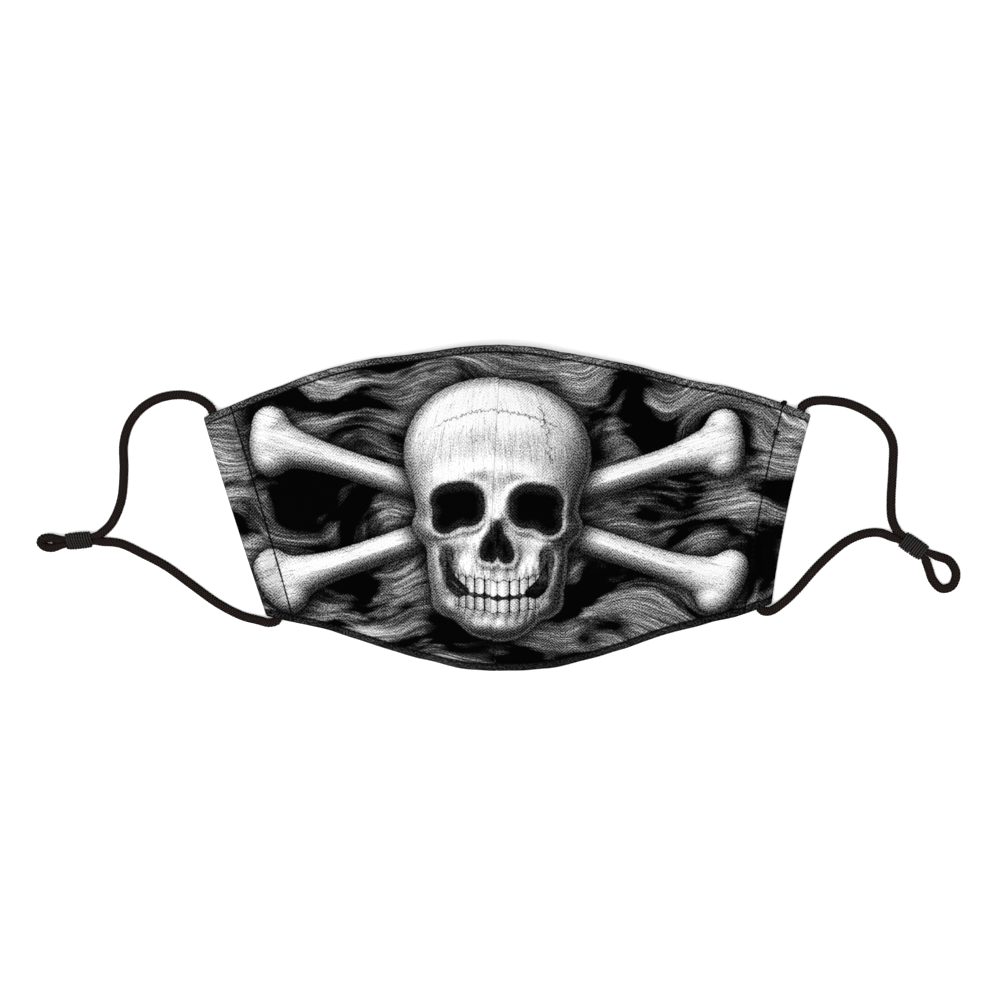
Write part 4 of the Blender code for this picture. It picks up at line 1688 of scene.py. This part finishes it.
class SKULLMASK_OT_ear_cords(bpy.types.Operator):
    """Braid both ear cords along their routes, from tunnel to adjuster and back"""

    bl_idname = "skull_mask.ear_cords"
    bl_label = "Ear Cords"
    bl_options = {"REGISTER", "UNDO"}

    ring_spacing = 0.00026
    sides = 36
    # The height of the braid that lies at the cord's own radius.
    middle_height = 0.45

    def execute(self, context):
        material = braided_elastic()
        for half in HALVES:
            self.add_cord(half, material)
        return {"FINISHED"}

    def add_cord(self, half, material):
        settings = cord_settings()
        line = smooth_route(cord_route(half), self.ring_spacing)
        rings = rounded_ends(framed_rings(line, CORD_DIAMETER / 2, (0, 0, 1)), CORD_DIAMETER / 3)
        shell = new_shell()
        shell.verts.layers.float_vector.new("braid")
        depth = settings.braid_depth

        def reach(turn, along):
            return 1 - depth * self.middle_height + depth * braid_height(turn, along, settings)

        verts = add_tube(shell, rings, self.sides, reach)
        height = shell.verts.layers.float_vector["braid"]
        uv = shell.loops.layers.uv.active
        # Each point keeps its braid height, which the cord's material turns into painted shade
        # between the strands.
        for vertex in verts:
            turn, along = vertex.link_loops[0][uv].uv
            vertex[height] = (braid_height(turn, along, settings), 0, 0)
        close_tubes(shell)
        name = half.name + "_ear_cord"
        piece = add_piece(half.name + "_braided_cord", shell, material, [name])
        piece["length"] = sum((b[0] - a[0]).length for a, b in zip(line, line[1:]))


class SKULLMASK_OT_adjusters(bpy.types.Operator):
    """Wind the thread of both adjusters round the cord's two strands"""

    bl_idname = "skull_mask.adjusters"
    bl_label = "Adjusters"
    bl_options = {"REGISTER", "UNDO"}

    points_per_turn = 40
    thread_sides = 12
    rings_between_path_points = 5
    # The thread's width is a share of the distance between turns, and its height of its own
    # diameter. Each turn leans along the cord, and the first and last ones sink towards it.
    thread_width = 0.98
    thread_height = 1.30
    lean = 0.12
    sink = 0.00032
    # The thread's thickness wobbles by a share of itself, and the thread sways along the cord.
    # The rates say how far the noise moves on between two of its points.
    wobble = 0.16
    wobble_rate = 0.11
    sway = 0.00022
    sway_rate = 0.045

    def execute(self, context):
        material = winding_thread()
        for half in HALVES:
            winding = self.add_winding(half, material)
            self.declare_cord(half, winding)
        return {"FINISHED"}

    def place_on(self, half, turn):
        """The thread's middle after a number of turns, the way out of the winding, and along it."""
        middle, along, apart, length = adjuster_frame(half)
        up = apart.cross(along)
        reach = SQUEEZED_DIAMETER / 2 + ADJUSTER_CLEARANCE + WINDING_DIAMETER / 2
        straight, arc = STRAND_SPACING, math.pi * reach
        way = (turn % 1) * 2 * (straight + arc)
        turns = winding_settings().turns
        sunk = self.sink * abs(2 * turn / turns - 1) ** 4
        if way < straight:
            flat, out = Vector((way - straight / 2, reach)), Vector((0, 1))
        elif way < straight + arc:
            angle = math.pi / 2 - (way - straight) / reach
            out = Vector((math.cos(angle), math.sin(angle)))
            flat = Vector((straight / 2, 0)) + out * reach
        elif way < 2 * straight + arc:
            flat, out = Vector((straight / 2 - (way - straight - arc), -reach)), Vector((0, -1))
        else:
            angle = -math.pi / 2 - (way - 2 * straight - arc) / reach
            out = Vector((math.cos(angle), math.sin(angle)))
            flat = Vector((-straight / 2, 0)) + out * reach
        inner = length - WINDING_DIAMETER
        place = inner * (turn / turns - 0.5)
        flat -= out * sunk
        point = middle + along * (place + self.lean * flat.x) + apart * flat.x + up * flat.y
        return point, apart * out.x + up * out.y, along

    def add_winding(self, half, material):
        turns = winding_settings().turns
        _, _, _, length = adjuster_frame(half)
        shell = new_shell()
        pitch = (length - WINDING_DIAMETER) / turns
        rings = []
        count = turns * self.points_per_turn
        for i in range(count + 1):
            point, out, along = self.place_on(half, turns * i / count)
            place = Vector((i * self.wobble_rate, half.side * 5, 0))
            wobble = 1 + self.wobble * noise.noise(place)
            sway = self.sway * noise.noise(Vector((i * self.sway_rate, 9, half.side)))
            wide = along * self.thread_width * pitch / WINDING_DIAMETER
            tall = out * self.thread_height
            rings.append((point + along * sway, wide, tall, WINDING_DIAMETER / 2 * wobble))
        add_tube(shell, rounded_ends(rings, WINDING_DIAMETER / 2), self.thread_sides)
        close_tubes(shell)
        name = half.name + "_adjuster"
        return add_piece(half.name + "_winding", shell, material, [name])

    def declare_cord(self, half, winding):
        cord = bpy.data.objects[half.name + "_braided_cord"]
        spacing = SKULLMASK_OT_ear_cords.ring_spacing * self.rings_between_path_points
        line = smooth_route(cord_route(half), spacing)
        start, _ = tunnel_route(half)
        del cord["length"]


class SKULLMASK_OT_cloth(bpy.types.Operator):
    """Sew both printed halves: hems, puckers, the tunnels and the print's own places"""

    bl_idname = "skull_mask.cloth"
    bl_label = "Cloth"
    bl_options = {"REGISTER", "UNDO"}

    def execute(self, context):
        outer, inner = printed_cloth(), plain_cloth()
        for half in HALVES:
            self.add_half(half, outer, inner)
        return {"FINISHED"}

    def add_half(self, half, outer, inner):
        x, y, level, across, down = cloth_grid(half)
        dome_count = len(dome_shares(half))
        from_edge = np.minimum(down, 1 - down) * column_height(half, across)
        from_seam = across * row_width(half, down)
        from_side = (1 - across) * row_width(half, down)
        points = self.puckered(half, x, y, level, from_edge, from_seam, from_side, dome_count)
        u, v = self.developed(half, points, across, down)
        thickness = self.thickness(from_edge, from_seam, from_side, dome_count)
        rows, columns = x.shape
        shell = new_shell()
        uv = shell.loops.layers.uv.active
        bmesh.ops.create_grid(shell, x_segments=columns - 1, y_segments=rows - 1, size=1)
        order = np.empty((len(shell.verts), 2), int)
        for vertex in shell.verts:
            column = round((vertex.co.x + 1) / 2 * (columns - 1))
            row = round((vertex.co.y + 1) / 2 * (rows - 1))
            order[vertex.index] = row, column
            vertex.co = points[row, column]
            for loop in vertex.link_loops:
                loop[uv].uv = (u[row, column], v[row, column])
        if half.side > 0:
            bmesh.ops.reverse_faces(shell, faces=shell.faces)
        area = sum(face.calc_area() for face in shell.faces)
        panel = half.name + "_panel"
        piece = add_piece(half.name + "_cloth", shell, outer, [panel])
        mesh = piece.data
        mesh.materials.append(inner)
        at = tuple(order.T)
        casing = np.abs(from_side - TUNNEL_WIDTH)
        casing[:, dome_count + TUNNEL_COLUMNS:] = FAR_FROM_CASING
        hem = (from_edge[at] / MM, np.round(down[at]), casing[at] / MM)
        self.add_design(mesh, u[at], v[at], hem)
        group = piece.vertex_groups.new(name="thickness")
        thickest = float(thickness.max())
        for index, (row, column) in enumerate(order):
            group.add([index], float(thickness[row, column]) / thickest, "REPLACE")
        solidify = piece.modifiers.new("cloth", "SOLIDIFY")
        solidify.thickness = thickest
        solidify.offset = 0
        solidify.vertex_group = group.name
        solidify.material_offset = 1
        piece["flat"] = [float(np.ptp(u)), float(np.ptp(v)), area]

    def puckered(self, half, x, y, level, from_edge, from_seam, from_side, dome_count):
        """The cloth's middle points, with its puckers and soft waves."""
        settings = cloth_settings()
        points = np.stack([x, y, level], axis=-1)
        casing = np.abs(from_side - TUNNEL_WIDTH)
        for row in range(x.shape[0]):
            for column in range(x.shape[1]):
                if column >= dome_count + TUNNEL_COLUMNS:
                    continue
                px, py = float(x[row, column]), float(y[row, column])
                edge, seam = float(from_edge[row, column]), float(from_seam[row, column])
                lift = ripple(py, float(casing[row, column]), CASING_PUCKER)
                lift += ripple(px, edge, HEM_PUCKER) + ripple(py, seam, SEAM_PUCKER)
                if column < dome_count:
                    held = min(seam, float(casing[row, column])) / UNDULATION_HELD
                    at_edge = edge / UNDULATION_EDGE_REACH + UNDULATION_EDGE_SHARE
                    wave = noise.noise(Vector((px, py, half.side * 0.4)) / UNDULATION_SIZE)
                    open_share = min(held, 1) * min(at_edge, 1)
                    points[row, column, 2] += settings.undulation * wave * open_share
                points[row, column, 2] += lift * settings.pucker
                place = Vector((px / EDGE_WAVE_SIZE, py / EDGE_WAVE_INWARD_SIZE, 4.0))
                drift = EDGE_WAVE_DEPTH * noise.noise(place)
                points[row, column, 1] += drift * math.exp(-edge / EDGE_WAVE_REACH)
        return points

    def developed(self, half, points, across, down):
        """Each point's place in the flat cloth: along the middle row, then up and down from it."""
        settings = print_settings()
        middle = points.shape[0] // 2
        step = 1e-4
        ahead = np.stack(plan_point(half, across + step, down), -1)
        behind = np.stack(plan_point(half, across - step, down), -1)
        outward = ahead - behind
        outward /= np.linalg.norm(outward, axis=-1, keepdims=True)
        below = np.stack(plan_point(half, across, down + step), -1)
        above = np.stack(plan_point(half, across, down - step), -1)
        chinward = below - above
        chinward /= np.linalg.norm(chinward, axis=-1, keepdims=True)
        run = np.linalg.norm(np.diff(points, axis=1), axis=-1)
        fall = np.linalg.norm(np.diff(points, axis=0), axis=-1)
        flat = np.zeros((*points.shape[:2], 2))
        flat[middle, 0] = points[middle, 0, :2]
        for column in range(1, points.shape[1]):
            step_out = outward[middle, column] * run[middle, column - 1]
            flat[middle, column] = flat[middle, column - 1] + step_out
        for row in range(middle + 1, points.shape[0]):
            flat[row] = flat[row - 1] + chinward[row] * fall[row - 1][:, None]
        for row in range(middle - 1, -1, -1):
            flat[row] = flat[row + 1] - chinward[row] * fall[row][:, None]
        shift_x, shift_y = half.print_shift
        u = flat[..., 0] - settings.design_x + shift_x
        v = flat[..., 1] - settings.design_y + shift_y
        return u, v

    def thickness(self, from_edge, from_seam, from_side, dome_count):
        """The cloth's thickness at each point, thin at edges and stitches and thick in hems."""

        def profile(rows, distance):
            places = [row.distance for row in rows]
            return np.interp(distance, places, [row.thickness for row in rows])

        hem = profile(HEM_PROFILE, from_edge)
        doubled = (hem - CLOTH_THICKNESS).clip(0)
        seam = profile(SEAM_PROFILE, from_seam)
        casing = profile(STITCH_PROFILE, np.abs(from_side - TUNNEL_WIDTH))
        mouth = profile(MOUTH_PROFILE, from_edge)
        made = np.minimum(hem, np.minimum(seam, casing) + doubled)
        made[:, dome_count:] = np.minimum(mouth, casing)[:, dome_count:]
        flap = dome_count + TUNNEL_COLUMNS
        made[:, flap:] = mouth[:, flap:]
        return made

    def add_design(self, mesh, u, v, hem):
        """Store the print's values on the mesh, and hem with them.

        hem holds the distance from the nearer hem's edge in millimetres, 0 or 1 for the nose
        or the chin hem, and the distance from the tunnel's stitches in millimetres."""
        unit = print_settings().design_unit
        values = design_values(u / unit, v / unit)
        values["print_hem"] = hem
        for name, columns in values.items():
            attribute = mesh.attributes.new(name, "FLOAT_VECTOR", "POINT")
            attribute.data.foreach_set("vector", np.stack(columns, -1).astype(np.float32).ravel())


class SKULLMASK_OT_stitches(bpy.types.Operator):
    """Stitch the hems and the tunnels, with the knot and the thread end that show"""

    bl_idname = "skull_mask.stitches"
    bl_label = "Stitches"
    bl_options = {"REGISTER", "UNDO"}

    sides = 6
    rings = 6
    line_step = 0.0006
    look_ahead = 1e-4
    # Stitches differ in place and length by shares of a stitch, and sway by a share of the
    # thread's radius. The rates say how far the noise moves on from one stitch to the next.
    place_change = 0.08
    place_rate = 1.7
    length_change = 0.12
    length_rate = 2.3
    sway = 0.5
    sway_rate = 0.9
    # A stitch arches out of the cloth from below its surface, and swells from its ends to its
    # middle. These are shares of the thread's radius.
    arch = 2.2
    sunk = 1.1
    end_width = 0.55
    swell = 0.45

    def execute(self, context):
        material = stitch_thread()
        for half in HALVES:
            made = [
                self.add_line(half, "casing_stitches", self.casing_line(half), material),
                self.add_line(half, "nose_hem_stitches", self.hem_line(half, 0), material),
                self.add_line(half, "chin_hem_stitches", self.hem_line(half, 1), material),
            ]
            if half is RIGHT:
                made.append(self.add_knot(half, material))
                made.append(self.add_thread_end(half, material))
            self.declare_sheet(half, made)
        return {"FINISHED"}

    def casing_line(self, half):
        count = int(float(column_height(half, 1)) / self.line_step)
        line = []
        for i in range(count + 1):
            down = CASING_LINE_START + CASING_LINE_SHARE * i / count
            across = 1 - TUNNEL_WIDTH / float(row_width(half, down))
            line.append(cloth_frame(half, across, down))
        return line

    def hem_line(self, half, end):
        count = int(half.nose_width / self.line_step)
        line = []
        for i in range(count + 1):
            across = HEM_LINE_START + HEM_LINE_SHARE * i / count
            hem = HEM_WIDTH / float(column_height(half, across))
            line.append(cloth_frame(half, across, abs(end - hem)))
        return line

    def add_line(self, half, name, frames, material):
        settings = stitch_settings()
        points = np.array([point for point, _ in frames])
        normals = np.array([out for _, out in frames])
        places = np.concatenate([[0], np.cumsum(np.linalg.norm(np.diff(points, axis=0), axis=1))])
        radius = settings.thread_diameter / 2
        shell = new_shell()
        count = int(places[-1] / settings.pitch)
        seed = len(name) * half.side

        def at(place):
            point = Vector([float(np.interp(place, places, points[:, k])) for k in range(3)])
            out = Vector([float(np.interp(place, places, normals[:, k])) for k in range(3)])
            return point, out.normalized()

        for i in range(count):
            moved = noise.noise(Vector((i * self.place_rate, seed, 0.5)))
            start = (i + self.place_change * moved) * settings.pitch
            longer = noise.noise(Vector((i * self.length_rate, seed, 4.5)))
            length = settings.pitch * settings.shown * (1 + self.length_change * longer)
            rings = []
            for ring in range(self.rings + 1):
                t = ring / self.rings
                point, out = at(start + length * t)
                following, _ = at(start + length * t + self.look_ahead)
                along = (following - point).normalized()
                bow = math.sin(math.pi * t)
                rise = GROOVE_THICKNESS / 2 + radius * (self.arch * bow**0.5 - self.sunk)
                bend = noise.noise(Vector((i * self.sway_rate, ring * 0.2, seed)))
                sway = radius * self.sway * bend
                side = out.cross(along)
                swelled = radius * (self.end_width + self.swell * bow**0.4)
                thick = swelled if 0 < ring < self.rings else 0.0
                rings.append((point + out * rise + side * sway, side, out, thick))
            add_tube(shell, rings, self.sides)
        close_tubes(shell)
        return add_piece(half.name + "_" + name, shell, material)

    def add_knot(self, half, material):
        """A small knot where the tunnel's stitching was started."""
        radius = stitch_settings().thread_diameter / 2
        across = 1 - TUNNEL_WIDTH / float(row_width(half, KNOT_DOWN))
        point, out = cloth_frame(half, across, KNOT_DOWN)
        side = Vector((1, 0, 0))
        side = (side - out * side.dot(out)).normalized()
        along = out.cross(side)
        rings = []
        for i in range(KNOT_POINTS + 1):
            turn = 2 * math.pi * KNOT_TURNS * i / KNOT_POINTS
            wide = radius * KNOT_REACH * (1 + KNOT_UNEVENNESS * math.sin(turn * 0.7))
            long = wide * KNOT_SHORTNESS
            place = side * wide * math.cos(turn) + along * long * math.sin(turn * 1.5)
            rise = KNOT_LIFT + KNOT_RISE * math.sin(turn * 2 / 3 + 1)
            rings.append((point + place + out * (GROOVE_THICKNESS / 2 + radius * rise), 1.0))
        last = rings[-1][0]
        tail = (side + along * KNOT_TAIL_SLANT) * radius
        rings += [(last + tail * step, 1.0) for step in KNOT_TAIL]
        shell = new_shell()
        add_tube(shell, rounded_ends(framed_rings(rings, radius, out), radius), self.sides)
        close_tubes(shell)
        return add_piece(half.name + "_casing_knot", shell, material)

    def add_thread_end(self, half, material):
        """A clipped thread end that stands out of the nose edge above the tunnel's stitching."""
        radius = stitch_settings().thread_diameter / 2
        across = 1 - TUNNEL_WIDTH / float(row_width(half, 0))
        point, out = cloth_frame(half, across, CASING_LINE_START)
        root = point + out * (GROOVE_THICKNESS / 2)
        rings = []
        for i in range(THREAD_END_POINTS + 1):
            t = i / THREAD_END_POINTS
            turn = 2 * math.pi * THREAD_END_TURNS * t
            curl = Vector((math.cos(turn), 0, math.sin(turn))) * radius * THREAD_END_CURL
            reach = THREAD_END_DIRECTION * THREAD_END_LENGTH * t
            rings.append((root + curl + reach, THREAD_END_SWELL))
        shell = new_shell()
        add_tube(shell, rounded_ends(framed_rings(rings, radius, (0, 1, 0)), radius), self.sides)
        close_tubes(shell)
        return add_piece(half.name + "_thread_end", shell, material)

    def declare_sheet(self, half, made):
        cloth = bpy.data.objects[half.name + "_cloth"]
        del cloth["flat"]


class SKULLMASK_PT_panel(bpy.types.Panel):
    """Lists the mask's pieces and their settings"""

    bl_idname = "SKULLMASK_PT_panel"
    bl_label = "Skull Mask"
    bl_space_type = "VIEW_3D"
    bl_region_type = "UI"
    bl_category = "Skull Mask"

    def draw(self, context):
        for operator, groups in STEPS:
            box = self.layout.box()
            box.operator(operator.bl_idname)
            for group in groups:
                settings = getattr(context.scene, group)
                for name in settings.bl_rna.properties.keys():
                    if name not in ("rna_type", "name"):
                        box.prop(settings, name)


# Each operator in the order of making, with the scene's groups of settings that it reads.
STEPS = (
    (SKULLMASK_OT_stage, ["skull_mask_stage"]),
    (SKULLMASK_OT_ear_cords, ["skull_mask_cord"]),
    (SKULLMASK_OT_adjusters, ["skull_mask_winding"]),
    (SKULLMASK_OT_cloth, ["skull_mask_cloth", "skull_mask_print"]),
    (SKULLMASK_OT_stitches, ["skull_mask_stitch"]),
)
SETTINGS = {
    "skull_mask_stage": StageSettings,
    "skull_mask_cord": CordSettings,
    "skull_mask_winding": WindingSettings,
    "skull_mask_cloth": ClothSettings,
    "skull_mask_print": PrintSettings,
    "skull_mask_stitch": StitchSettings,
}
CLASSES = (*SETTINGS.values(), *(operator for operator, _ in STEPS), SKULLMASK_PT_panel)


def register():
    for item in CLASSES:
        bpy.utils.register_class(item)
    for name, group in SETTINGS.items():
        setattr(bpy.types.Scene, name, PointerProperty(type=group))


def unregister():
    for name in SETTINGS:
        delattr(bpy.types.Scene, name)
    for item in reversed(CLASSES):
        bpy.utils.unregister_class(item)


def main():
    register()
    bpy.ops.skull_mask.stage()
    bpy.ops.skull_mask.ear_cords()
    bpy.ops.skull_mask.adjusters()
    bpy.ops.skull_mask.cloth()
    bpy.ops.skull_mask.stitches()


if __name__ == "__main__":
    main()
